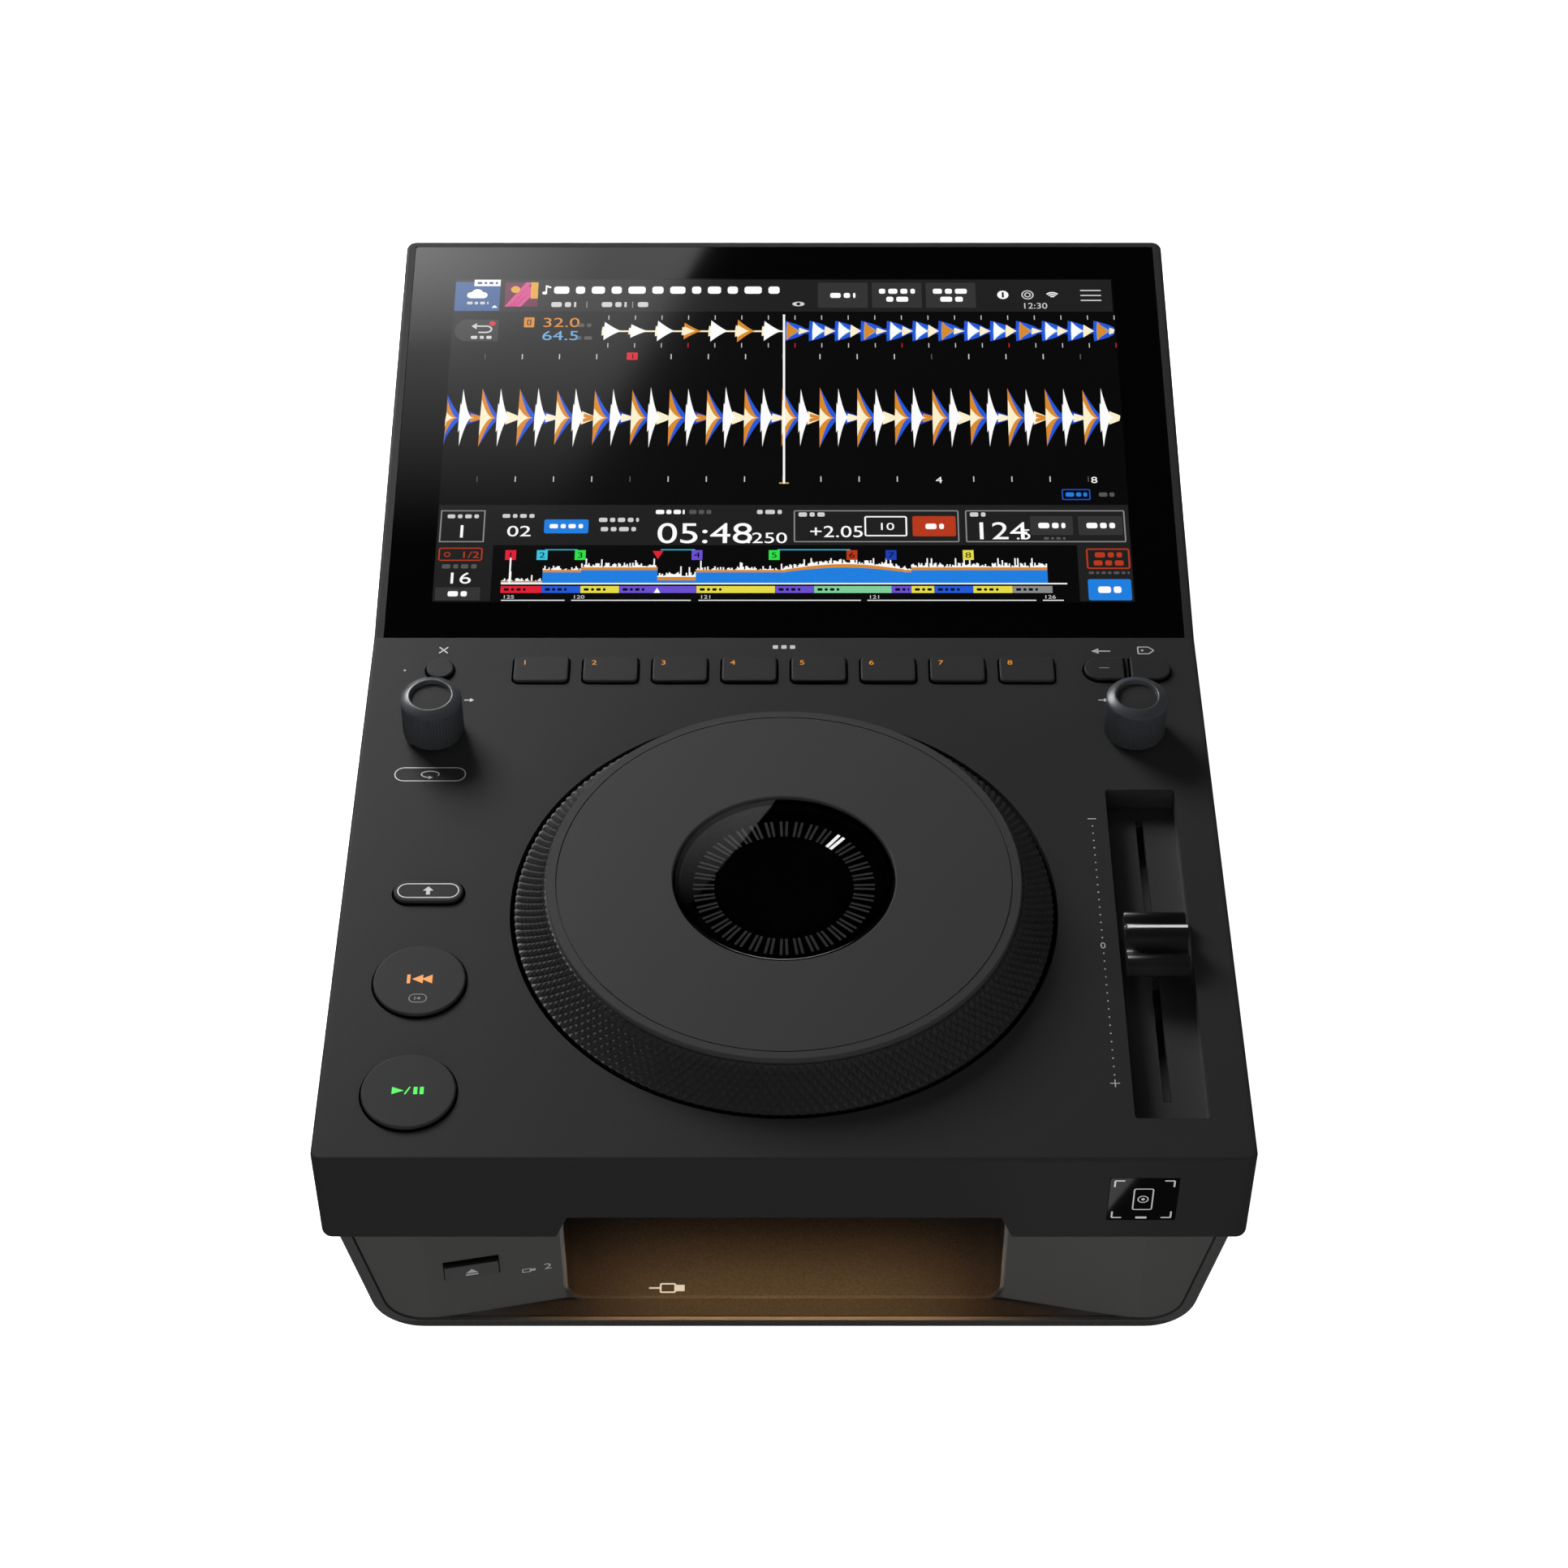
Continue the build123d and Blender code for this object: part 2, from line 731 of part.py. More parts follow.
def build_usb_bay():
    """Front fascia: two slanted facets, the pocket between them, its floor and a switch shelf."""
    bay_back = front_y + lower_overhang + bay_depth
    face_y = front_y + lower_overhang + facet_inset
    pocket_y = face_y + facet_depth
    outer_x = half_width
    with BuildPart() as bay:
        # Facets, seen from above, as tall as the lower case
        with BuildSketch(Plane.XY.offset(bay_floor_z - bay_floor_thickness)):
            for side in sides:
                with BuildLine():
                    Polyline(
                        (side * outer_x, face_y), (side * facet_half_span, face_y),
                        (side * bay_half_width, pocket_y),
                        (side * bay_half_width, pocket_y + bay_wall),
                        (side * facet_half_span, face_y + bay_wall),
                        (side * outer_x, face_y + bay_wall), close=True,
                    )
                make_face()
        extrude(amount=split_z - parting_gap - bay_floor_z + bay_floor_thickness)
        # Pocket walls and ceiling
        with Locations((0, pocket_y, bay_floor_z - bay_floor_thickness)):
            Box(2 * (bay_half_width + bay_wall), bay_back + bay_wall - pocket_y,
                bay_ceiling_z + bay_wall - bay_floor_z + bay_floor_thickness,
                align=(Align.CENTER, Align.MIN, Align.MIN))
        # Keep to the opening of the lower case, and stand free below the deck
        with BuildSketch(lower_front.offset(1)):
            make_face(hull_outline(lower_wall + parting_gap, split_z))
            with Locations((0, split_z)):
                Rectangle(2 * (bay_half_width + bay_wall), 2 * (notch_height + bay_wall + 1))
            with Locations((0, bay_floor_z - bay_floor_thickness)):
                Rectangle(2 * (facet_half_span - bay_seat_step), 2 * lower_wall,
                          align=(Align.CENTER, Align.MIN))
        extrude(amount=-(bay_depth + bay_wall + 2), mode=Mode.INTERSECT)
        # Floor plate, running forward under the facets to the front lip
        for half, length in bay_floor_steps:
            with Locations((
                0, front_y + lower_overhang + bay_lip + parting_gap, bay_floor_z - bay_floor_thickness
            )):
                Box(2 * half, length, bay_floor_thickness,
                    align=(Align.CENTER, Align.MIN, Align.MIN))
        # The pocket itself, with rounded lower corners
        with BuildSketch(lower_front.offset(1)):
            with Locations((0, bay_floor_z)):
                Rectangle(2 * bay_half_width, bay_ceiling_z - bay_floor_z,
                          align=(Align.CENTER, Align.MIN))
            low_corners = vertices().group_by(Axis.Y)[0]
            fillet(low_corners, bay_corner_radius)
        extrude(amount=-(bay_depth + 1), mode=Mode.SUBTRACT)
        # Channel of the light bar, socket hole and eject opening
        with Locations((0, pocket_y + light_setback, bay_ceiling_z)):
            Box(light_length + 2 * parting_gap, light_width + 2 * parting_gap, 2 * light_height,
                align=(Align.CENTER, Align.CENTER, Align.CENTER), mode=Mode.SUBTRACT)
        with Locations((usb_x, bay_back, usb_z)):
            Box(usb_width + 2 * glass_gap, 4 * bay_wall, usb_height + 2 * glass_gap,
                mode=Mode.SUBTRACT)
        with BuildSketch(facet.offset(1)):
            with Locations((0, eject_z)):
                Rectangle(eject_width + 2 * key_clearance, eject_height + 2 * key_clearance)
        extrude(amount=-bay_wall - 2, mode=Mode.SUBTRACT)
        # Shelf that carries the switch of the eject button, on two ribs
        shelf = facet.offset(-bay_wall - eject_shelf_depth)
        with BuildSketch(shelf):
            with Locations((0, eject_z)):
                Rectangle(eject_width + 8, switch_size + 2)
        extrude(amount=-board_thickness)
        with BuildSketch(shelf):
            for side in sides:
                with Locations((side * (eject_width / 2 + 3.2), eject_z)):
                    Rectangle(1.6, switch_size + 2)
        extrude(amount=eject_shelf_depth + bay_wall / 2)
    finish(bay, "usb_bay")


def build_bay_light_bar():
    """Light bar in the ceiling of the bay."""
    bar_y = front_y + lower_overhang + facet_inset + facet_depth + light_setback
    with BuildPart() as bar:
        with Locations((0, bar_y, bay_ceiling_z + 0.1)):
            Box(light_length, light_width, light_height - 0.1,
                align=(Align.CENTER, Align.CENTER, Align.MIN))
        fillet(bar.edges().filter_by(Axis.X).group_by(Axis.Z)[0], light_height / 4)
    finish(bar, "bay_light_bar")


def build_rear_panel():
    """Steel plate that carries the rear sockets."""
    bracket_low = glass_thickness + module_thickness + bracket_plate
    plate_top = under_slope(rear_plate_y - rear_plate_thickness, bracket_low) - deck_z - 0.3
    plate_low = split_z - deck_z
    with BuildPart() as plate:
        with BuildSketch(rear_plane):
            with Locations((0, (plate_top + plate_low) / 2)):
                Rectangle(2 * (inner_half - 0.3), plate_top - plate_low)
            holes = (
                (inlet_place, inlet_width, inlet_height),
                (network_place, network_width, network_height),
                (rear_usb_place, usb_width, usb_height),
            )
            for (x, z), width, height in holes:
                with Locations((-x, z)):
                    Rectangle(width + 2 * glass_gap, height + 2 * glass_gap, mode=Mode.SUBTRACT)
            for side in sides:
                with Locations((-audio_place[0] + side * audio_spacing / 2, audio_place[1])):
                    Circle(barrel_radius + 0.2, mode=Mode.SUBTRACT)
            with Locations((-power_place[0], power_place[1])):
                Circle(power_radius + key_clearance, mode=Mode.SUBTRACT)
            for drop in rear_lug_drops:
                with Locations((-rear_lug_x, drop), (rear_lug_x, drop)):
                    Circle(screw_radius + 0.2, mode=Mode.SUBTRACT)
        extrude(amount=-rear_plate_thickness)
    finish(plate, "rear_panel")


def build_feet():
    """Four round rubber feet."""
    with BuildPart() as feet:
        with BuildSketch(deck.offset(-deck_z)):
            with Locations(*[
                (side * foot_x, y) for side in sides for y in (front_foot_y, case_depth - rear_foot_setback)
            ]):
                Circle(foot_radius)
        extrude(amount=foot_height)
        fillet(feet.edges().group_by(Axis.Z)[0], foot_edge_radius)
    finish(feet, "feet")


def build_case_screws():
    """All the case screws: up through the posts, up into the jog bosses, in through the rear."""
    head_z = split_z - deck_z - post_seat
    jog_head_z = -(deck_thickness + jog_boss_height + jog_base_wall)
    with BuildPart() as screws:
        for places, head in ((case_posts, head_z), (jog_ears, jog_head_z)):
            with BuildSketch(deck.offset(head)):
                with Locations(*places):
                    Circle(screw_head_radius)
            extrude(amount=-screw_head_height)
            with BuildSketch(deck.offset(head)):
                with Locations(*places):
                    Circle(screw_radius)
            extrude(amount=screw_length)
        rear_places = [(side * rear_lug_x, drop) for side in sides for drop in rear_lug_drops]
        with BuildSketch(rear_plane):
            with Locations(*rear_places):
                Circle(screw_head_radius)
        extrude(amount=screw_head_height)
        with BuildSketch(rear_plane):
            with Locations(*rear_places):
                Circle(screw_radius)
        extrude(amount=-screw_length)
    finish(screws, "case_screws")


# ---------------------------------------------------------------- screen
glass_width = body_width - 2 * glass_side_rim
glass_length = screen_length - glass_top_rim - glass_fold_gap


def build_screen():
    """Cover glass, display module and the steel bracket behind it."""
    with BuildPart() as glass:
        with BuildSketch(slope):
            with Locations((0, glass_fold_gap + (glass_length - glass_gap) / 2)):
                RectangleRounded(glass_width, glass_length - glass_gap, 1.0)
        extrude(amount=-glass_thickness)
    finish(glass, "screen_glass")

    middle = module_start + module_length / 2
    with BuildPart() as module:
        with BuildSketch(slope.offset(-glass_thickness)):
            with Locations((0, middle)):
                Rectangle(module_width, module_length)
        extrude(amount=-module_thickness)
    finish(module, "display_module")

    module_low = glass_thickness + module_thickness
    with BuildPart() as bracket:
        with BuildSketch(slope.offset(-slope_thickness)):
            with Locations((0, middle)):
                Rectangle(module_width + 2 * bracket_wall, module_length + 2 * bracket_wall)
        extrude(amount=-(module_low - slope_thickness + bracket_plate))
        with BuildSketch(slope.offset(-slope_thickness)):
            with Locations((0, middle)):
                Rectangle(module_width + 2 * glass_gap, module_length + 2 * glass_gap)
        extrude(amount=-(module_low - slope_thickness), mode=Mode.SUBTRACT)
        with BuildSketch(slope.offset(-module_low)):
            with Locations((0, middle)):
                with GridLocations(module_width / 2, module_length / 2, 2, 2):
                    RectangleRounded(module_width / 3, module_length / 3, 6)
        extrude(amount=-bracket_plate, mode=Mode.SUBTRACT)
    finish(bracket, "display_bracket")


# ---------------------------------------------------------------- front reader
def build_reader():
    """Reader window in the front face and the board behind it."""
    with BuildPart() as window:
        with BuildSketch(front):
            with Locations((reader_x, -reader_drop)):
                RectangleRounded(reader_width, reader_height, 0.6)
        extrude(amount=-wall)
        with BuildSketch(front.offset(-wall)):
            with Locations((reader_x, -reader_drop)):
                Rectangle(reader_width + 2 * reader_flange, reader_height + 2 * reader_flange)
        extrude(amount=-1.0)
    finish(window, "reader_window")
    with BuildPart() as board:
        with BuildSketch(front.offset(-wall - 1.0)):
            with Locations((reader_x, -reader_drop)):
                Rectangle(reader_width + 4, reader_height + 4)
        extrude(amount=-board_thickness)
        with BuildSketch(front.offset(-wall - 1.0 - board_thickness)):
            with Locations((reader_x, -reader_drop)):
                Rectangle(7, 7)
                with Locations((-7, -6)):
                    Rectangle(3, 5)
        extrude(amount=-1.2)
    finish(board, "reader_board")


# ---------------------------------------------------------------- jog wheel
hub_top = -jog_ring_low
bearing_outer = jog_post_radius + running_clearance + jog_bearing_wall
base_floor = -jog_base_depth + jog_base_wall
hub_inner = bearing_outer + running_clearance
hub_outer = hub_inner + jog_hub_wall
hub_step = hub_outer + 1.5
disc_top = hub_top - jog_hub_plate - disc_drop
plate_low = jog_shoulder_height
plate_top = jog_shoulder_height + jog_plate_thickness
lens_top = plate_top - jog_lens_drop
lens_under = lens_top - jog_lens_thickness
display_top = lens_under - jog_display_gap


def jog_profile(points):
    """Closed outline in the half-plane behind the jog axis, as radius and height over the deck."""
    with BuildLine() as outline:
        Polyline(*[(jog_y + radius, height) for radius, height in points], close=True)
    return outline.edges()


jog_section = Plane(origin=(0, front_y, deck_z), x_dir=(0, 1, 0), z_dir=(1, 0, 0))
jog_axis = Axis((0, front_y + jog_y, deck_z), (0, 0, 1))
jog_level = Plane(origin=(0, front_y + jog_y, deck_z), x_dir=(1, 0, 0), z_dir=(0, 0, 1))


def build_jog_base():
    """Fixed bowl under the deck with the hollow centre post that holds the round display."""
    outer = jog_base_radius
    post_wall = jog_post_wall
    seat = display_top - jog_display_thickness
    with BuildPart() as base:
        with BuildSketch(jog_section):
            make_face(jog_profile([
                (jog_post_radius - post_wall, -jog_base_depth),
                (outer, -jog_base_depth), (outer, -deck_thickness),
                (outer - jog_base_wall, -deck_thickness),
                (outer - jog_base_wall, base_floor), (jog_post_radius, base_floor),
                (jog_post_radius, lens_under), (jog_post_radius - post_wall, lens_under),
                (jog_post_radius - post_wall, seat), (4, seat), (4, seat - 2),
                (jog_post_radius - post_wall, seat - 2),
            ]))
        revolve(axis=jog_axis)
        flange_z = -(deck_thickness + jog_boss_height)
        with BuildSketch(jog_level.offset(flange_z)):
            with PolarLocations((outer + jog_ear_radius) / 2, 4, start_angle=45):
                Rectangle(jog_ear_radius - outer + 2, 2 * post_radius)
            with PolarLocations(jog_ear_radius, 4, start_angle=45):
                Circle(post_radius)
                Circle(screw_radius + 0.2, mode=Mode.SUBTRACT)
        extrude(amount=-jog_base_wall)
        with BuildSketch(jog_level.offset(flange_z)):
            with PolarLocations(jog_ear_radius, 4, start_angle=45):
                Circle(screw_radius + 0.2)
        extrude(amount=-jog_base_wall, mode=Mode.SUBTRACT)
    finish(base, "jog_base")


def build_jog_display():
    """Round display sunk in the post, and the clear lens that closes the post's rim."""
    with BuildPart() as display:
        with BuildSketch(jog_level.offset(display_top)):
            Circle(jog_display_radius)
        extrude(amount=-jog_display_thickness)
    finish(display, "jog_display")
    with BuildPart() as lens:
        with BuildSketch(jog_level.offset(lens_top)):
            Circle(jog_post_radius)
        extrude(amount=-jog_lens_thickness)
        chamfer(lens.edges().group_by(Axis.Z)[-1], 0.25)
    finish(lens, "jog_lens")


def build_jog_bearing():
    """Plain bearing ring round the post, resting on the bowl's floor."""
    top = hub_top - jog_hub_plate - 2 * running_clearance
    with BuildPart() as bearing:
        with BuildSketch(jog_level.offset(base_floor)):
            Circle(bearing_outer)
            Circle(jog_post_radius + running_clearance / 2, mode=Mode.SUBTRACT)
        extrude(amount=top - base_floor)
    finish(bearing, "jog_bearing")


def build_jog_hub():
    """Plate and sleeve that turn on the bearing and carry the ring, top plate and disc."""
    plate_under = hub_top - jog_hub_plate
    sleeve_low = base_floor + 1.0
    with BuildPart() as hub:
        with BuildSketch(jog_section):
            make_face(jog_profile([
                (jog_plate_bore, hub_top), (jog_plate_bore, plate_under),
                (hub_inner, plate_under), (hub_inner, sleeve_low), (hub_outer, sleeve_low),
                (hub_outer, disc_top), (hub_step, disc_top), (hub_step, plate_under),
                (jog_ring_radius - 1, plate_under), (jog_ring_radius - 1, hub_top),
            ]))
        revolve(axis=jog_axis)
        with BuildSketch(jog_level.offset(hub_top)):
            with PolarLocations((disc_radius + jog_shoulder_radius) / 2, 8):
                Circle(5)
        extrude(amount=-jog_hub_plate, mode=Mode.SUBTRACT)
    finish(hub, "jog_hub")


def build_jog_ring():
    """Knurled grip ring: a cone that leans in from the deck up to the top plate."""
    slant = Plane(
        origin=(jog_ring_radius, 0, jog_ring_edge),
        x_dir=(0, 1, 0),
        z_dir=(jog_shoulder_radius - jog_ring_radius, 0, jog_shoulder_height - jog_ring_edge),
    )
    with BuildPart() as groove:
        with BuildSketch(slant):
            RegularPolygon(knurl_depth, 4)
        extrude(amount=2 * jog_shoulder_height, both=True)
    with BuildPart() as ring:
        with BuildSketch(jog_section):
            make_face(jog_profile([
                (jog_ring_radius, hub_top), (jog_ring_radius, jog_ring_edge),
                (jog_shoulder_radius, jog_shoulder_height),
                (jog_shoulder_radius - jog_shelf_width, jog_shoulder_height),
                (jog_shoulder_radius - jog_shelf_width, jog_shoulder_height - 2),
                (jog_shoulder_radius - 1.6, jog_shoulder_height - 2),
                (jog_ring_radius - jog_ring_wall, 1.6), (jog_ring_radius - jog_ring_wall, hub_top),
            ]))
        revolve(axis=jog_axis)
        with Locations((0, front_y + jog_y, deck_z)):
            with PolarLocations(0, knurl_count):
                add(groove.part, mode=Mode.SUBTRACT)
    finish(ring, "jog_ring")


def build_jog_top_plate():
    """Flat touch plate with a fine groove near its rim and a sleeve down to the hub."""
    sleeve_outer = jog_plate_bore + jog_sleeve_wall
    with BuildPart() as plate:
        with BuildSketch(jog_section):
            make_face(jog_profile([
                (jog_plate_bore, hub_top), (jog_plate_bore, plate_top),
                (jog_plate_radius, plate_top), (jog_plate_radius, plate_low),
                (sleeve_outer, plate_low), (sleeve_outer, hub_top),
            ]))
        revolve(axis=jog_axis)
        chamfer(plate.edges().group_by(Axis.Z)[-1], 0.3)
        with BuildSketch(jog_level.offset(plate_top)):
            Circle(jog_groove_radius + jog_groove_width / 2)
            Circle(jog_groove_radius - jog_groove_width / 2, mode=Mode.SUBTRACT)
        extrude(amount=-jog_groove_width, mode=Mode.SUBTRACT)
    finish(plate, "jog_top_plate")


def build_encoder_disc():
    """Thin slotted disc clamped against the step of the hub's sleeve."""
    with BuildPart() as disc:
        with BuildSketch(jog_level.offset(disc_top)):
            Circle(disc_radius)
            Circle(hub_outer + running_clearance / 2, mode=Mode.SUBTRACT)
            with PolarLocations(disc_radius - 3, disc_slot_count):
                Rectangle(3.2, 1.4, mode=Mode.SUBTRACT)
        extrude(amount=-disc_thickness)
    finish(disc, "encoder_disc")


def build_jog_sensor():
    """Fork sensor on the bowl's floor that straddles the rim of the disc."""
    sensor_y = -(disc_radius + 1)
    top = disc_top + 2.6
    with BuildPart() as sensor:
        with Locations((0, front_y + jog_y + sensor_y, deck_z + base_floor)):
            Box(9, 12, top - base_floor, align=(Align.CENTER, Align.CENTER, Align.MIN))
        with Locations((0, front_y + jog_y + sensor_y + 3.5, deck_z + disc_top - disc_thickness / 2)):
            Box(10, 9, disc_thickness + 1.6, mode=Mode.SUBTRACT)
    finish(sensor, "jog_sensor")


# ---------------------------------------------------------------- keys, switches and boards
def build_key(name, place, outline, height):
    """Cap through the deck, retaining flange under it and a stem that ends over its switch."""
    with BuildPart() as key:
        with BuildSketch(deck.offset(-key_under)):
            with Locations(place):
                outline(0)
        extrude(amount=key_under + height)
        fillet(key.edges().group_by(Axis.Z)[-1], key_edge_radius)
        with BuildSketch(deck.offset(-key_under)):
            with Locations(place):
                outline(key_flange)
        extrude(amount=-key_flange_thickness)
        with BuildSketch(deck.offset(-flange_bottom)):
            with Locations(place):
                Circle(key_stem_radius)
        extrude(amount=-(stem_end - flange_bottom))
    finish(key, name)


def build_tact_switches():
    """One small switch under each key, and one behind the eject button."""
    with BuildPart() as switches:
        with BuildSketch(deck.offset(-board_drop)):
            with Locations(*[place for name, place, outline, height in keys]):
                Rectangle(switch_size, switch_size)
        extrude(amount=switch_height - 0.6)
        with BuildSketch(deck.offset(-board_drop + switch_height - 0.6)):
            with Locations(*[place for name, place, outline, height in keys]):
                Circle(switch_size / 4)
        extrude(amount=0.6)
        shelf = facet.offset(-bay_wall - eject_shelf_depth)
        with BuildSketch(shelf):
            with Locations((0, eject_z)):
                Rectangle(switch_size, switch_size)
        extrude(amount=switch_height - 0.6)
        with BuildSketch(shelf.offset(switch_height - 0.6)):
            with Locations((0, eject_z)):
                Circle(switch_size / 4)
        extrude(amount=0.6)
    finish(switches, "tact_switches")


def build_boards():
    """Key boards hung under the deck: a U round the jog wheel, and a strip on the left."""
    with BuildPart() as pad_board:
        with BuildSketch(deck.offset(-board_drop)):
            with Locations((0, pad_strip_back)):
                Rectangle(2 * board_half, pad_strip_depth, align=(Align.CENTER, Align.MAX))
            for side in sides:
                with Locations((side * (board_half - pad_wing_width / 2), pad_strip_back)):
                    Rectangle(pad_wing_width, pad_wing_depth, align=(Align.CENTER, Align.MAX))
        extrude(amount=-board_thickness)
        with BuildSketch(deck.offset(-board_drop - board_thickness)):
            with Locations((0, pad_strip_back - pad_strip_depth / 2)):
                with GridLocations(strip_chip_spacing, 1, 3, 1):
                    Rectangle(strip_chip_width, strip_chip_depth)
        extrude(amount=-chip_height)
    finish(pad_board, "pad_board")
    end = shift_y + shift_width / 2 + deck_board_margin
    start = play_y - play_radius - deck_board_margin + wall
    with BuildPart() as deck_board:
        with BuildSketch(deck.offset(-board_drop)):
            with Locations((-board_half, start)):
                Rectangle(deck_board_width, end - start, align=(Align.MIN, Align.MIN))
        extrude(amount=-board_thickness)
        with BuildSketch(deck.offset(-board_drop - board_thickness)):
            with Locations((-board_half + deck_board_width / 2, front_post_y)):
                Rectangle(ribbon_width, ribbon_length)
        extrude(amount=-ribbon_height)
    finish(deck_board, "deck_board")


def build_main_board():
    """Main board on tall standoffs, with its chips, connectors and a finned cooler."""
    board_top = deck_z - main_board_drop
    chip_x = main_board_left + processor_inset
    row_y = front_y + main_board_start + processor_setback
    back_row_y = row_y + rear_row_offset
    # X, Y, width, depth and height of each component
    components = [
        (chip_x, row_y, processor_size, processor_size, processor_height),
        (chip_x - clock_size, back_row_y, clock_size, clock_size, chip_height),
        (main_board_right - 2 * display_plug_inset, back_row_y,
         2 * ribbon_width, ribbon_width, ribbon_height),
        (main_board_right - display_plug_inset, row_y,
         display_plug_width, display_plug_length, display_plug_height),
    ]
    components += [
        (chip_x + memory_offset + i * memory_pitch, row_y, memory_width, memory_length, chip_height)
        for i in range(2)
    ]
    with BuildPart() as board:
        with BuildSketch(deck.offset(-main_board_drop)):
            with Locations((main_board_left, main_board_start)):
                Rectangle(
                    main_board_right - main_board_left, main_board_back - main_board_start,
                    align=(Align.MIN, Align.MIN),
                )
        extrude(amount=-board_thickness)
        for x, y, width, depth, height in components:
            with Locations((x, y, board_top)):
                Box(width, depth, height, align=(Align.CENTER, Align.CENTER, Align.MIN))
        with Locations((chip_x, row_y, board_top + processor_height)):
            with GridLocations(cooler_pitch, 1, cooler_fins, 1):
                Box(cooler_fin_width, processor_size - 2, cooler_height,
                    align=(Align.CENTER, Align.CENTER, Align.MIN))
    finish(board, "main_board")


def build_power_supply():
    """Mains power supply on the floor: transformer, capacitors, coil and two cooling plates."""
    board_z = floor_z + supply_rise
    middle_y = front_y + supply_y
    right_x = supply_x + supply_width / 2 - supply_edge_gap - filter_width / 2
    left_x = supply_x - supply_width / 2 + supply_edge_gap
    front_row = middle_y - supply_depth / 2 + supply_edge_gap
    plate_y = middle_y + supply_depth / 2 - supply_edge_gap - cooling_plate_length / 2
    # X, Y, width, depth and height of the blocks, then X, Y, radius and height of the cans
    blocks = (
        (supply_x, middle_y, transformer_width, transformer_depth, transformer_height),
        (right_x, front_row + filter_depth / 2, filter_width, filter_depth, filter_height),
        (left_x + main_can_radius, plate_y,
         cooling_plate_width, cooling_plate_length, cooling_plate_height),
        (supply_x + transformer_width - supply_row_gap, plate_y,
         cooling_plate_width, cooling_plate_length, cooling_plate_height),
    )
    can_y = front_row + filter_depth + supply_row_gap + output_can_radius
    can_pitch = 2 * output_can_radius + supply_row_gap
    cans = [
        (left_x + 2 * main_can_radius, front_row + main_can_radius, main_can_radius, main_can_height)
    ]
    cans += [
        (right_x, can_y + i * can_pitch, output_can_radius, output_can_height) for i in range(2)
    ]
    with BuildPart() as supply:
        with Locations((supply_x, middle_y, board_z)):
            Box(supply_width, supply_depth, board_thickness,
                align=(Align.CENTER, Align.CENTER, Align.MIN))
        top = board_z + board_thickness
        for x, y, width, depth, height in blocks:
            with Locations((x, y, top)):
                Box(width, depth, height, align=(Align.CENTER, Align.CENTER, Align.MIN))
        for x, y, radius, height in cans:
            with Locations((x, y, top)):
                Cylinder(radius, height, align=(Align.CENTER, Align.CENTER, Align.MIN))
    finish(supply, "power_supply")


def build_usb_board():
    """Small board behind the bay that carries its socket."""
    with BuildPart() as board:
        with BuildSketch(deck.offset(usb_board_z - deck_z)):
            with Locations((usb_x, usb_board_start)):
                Rectangle(usb_board_width, usb_board_depth, align=(Align.CENTER, Align.MIN))
        extrude(amount=board_thickness)
        with Locations((
            usb_x + usb_board_width / 3, front_y + usb_board_start + usb_board_depth / 2,
            usb_board_z + board_thickness,
        )):
            Box(10, 10, 1.4, align=(Align.CENTER, Align.CENTER, Align.MIN))
    finish(board, "usb_board")


def build_usb_sockets():
    """Two equal sockets: one in the bay, facing forward, and one at the rear."""
    bay_back = front_y + lower_overhang + bay_depth
    places = (
        Plane(origin=(usb_x, bay_back + 0.2, usb_z), x_dir=(1, 0, 0), z_dir=(0, -1, 0)),
        Plane(
            origin=(rear_usb_place[0], rear_plate_y + 0.2, deck_z + rear_usb_place[1]),
            x_dir=(-1, 0, 0), z_dir=(0, 1, 0),
        ),
    )
    with BuildPart() as sockets:
        for mouth in places:
            with BuildSketch(mouth):
                Rectangle(usb_width, usb_height)
            extrude(amount=-usb_depth)
            with BuildSketch(mouth):
                Rectangle(usb_width - 2 * usb_shell, usb_height - 2 * usb_shell)
            extrude(amount=-(usb_depth - 2), mode=Mode.SUBTRACT)
            with BuildSketch(mouth.offset(-usb_depth + 1)):
                with Locations((0, usb_tongue / 2)):
                    Rectangle(usb_width - 2, usb_tongue)
            extrude(amount=usb_depth - 2.5)
    finish(sockets, "usb_sockets")


# ---------------------------------------------------------------- knobs
rotor_low = -(board_drop - 1.0)
rotor_disc = 4.6
spindle_low = rotor_low + 0.2


def build_encoder(name, side):
    """Fixed encoder body with its bush through the deck, hollow for the rotor."""
    place = (side * knob_x, knob_y)
    with BuildPart() as body:
        with BuildSketch(deck.offset(-board_drop)):
            with Locations(place):
                Rectangle(encoder_size, encoder_size)
        extrude(amount=encoder_height)
        with BuildSketch(deck.offset(-board_drop + encoder_height)):
            with Locations(place):
                Circle(encoder_bush_radius)
        extrude(amount=board_drop - encoder_height + 0.3)
        with BuildSketch(deck.offset(rotor_low)):
            with Locations(place):
                Circle(rotor_disc + 0.3)
        extrude(amount=2.0, mode=Mode.SUBTRACT)
        with BuildSketch(deck.offset(rotor_low)):
            with Locations(place):
                Circle(rotor_radius + running_clearance)
        extrude(amount=board_drop + 1, mode=Mode.SUBTRACT)
    finish(body, f"encoder_{name}")


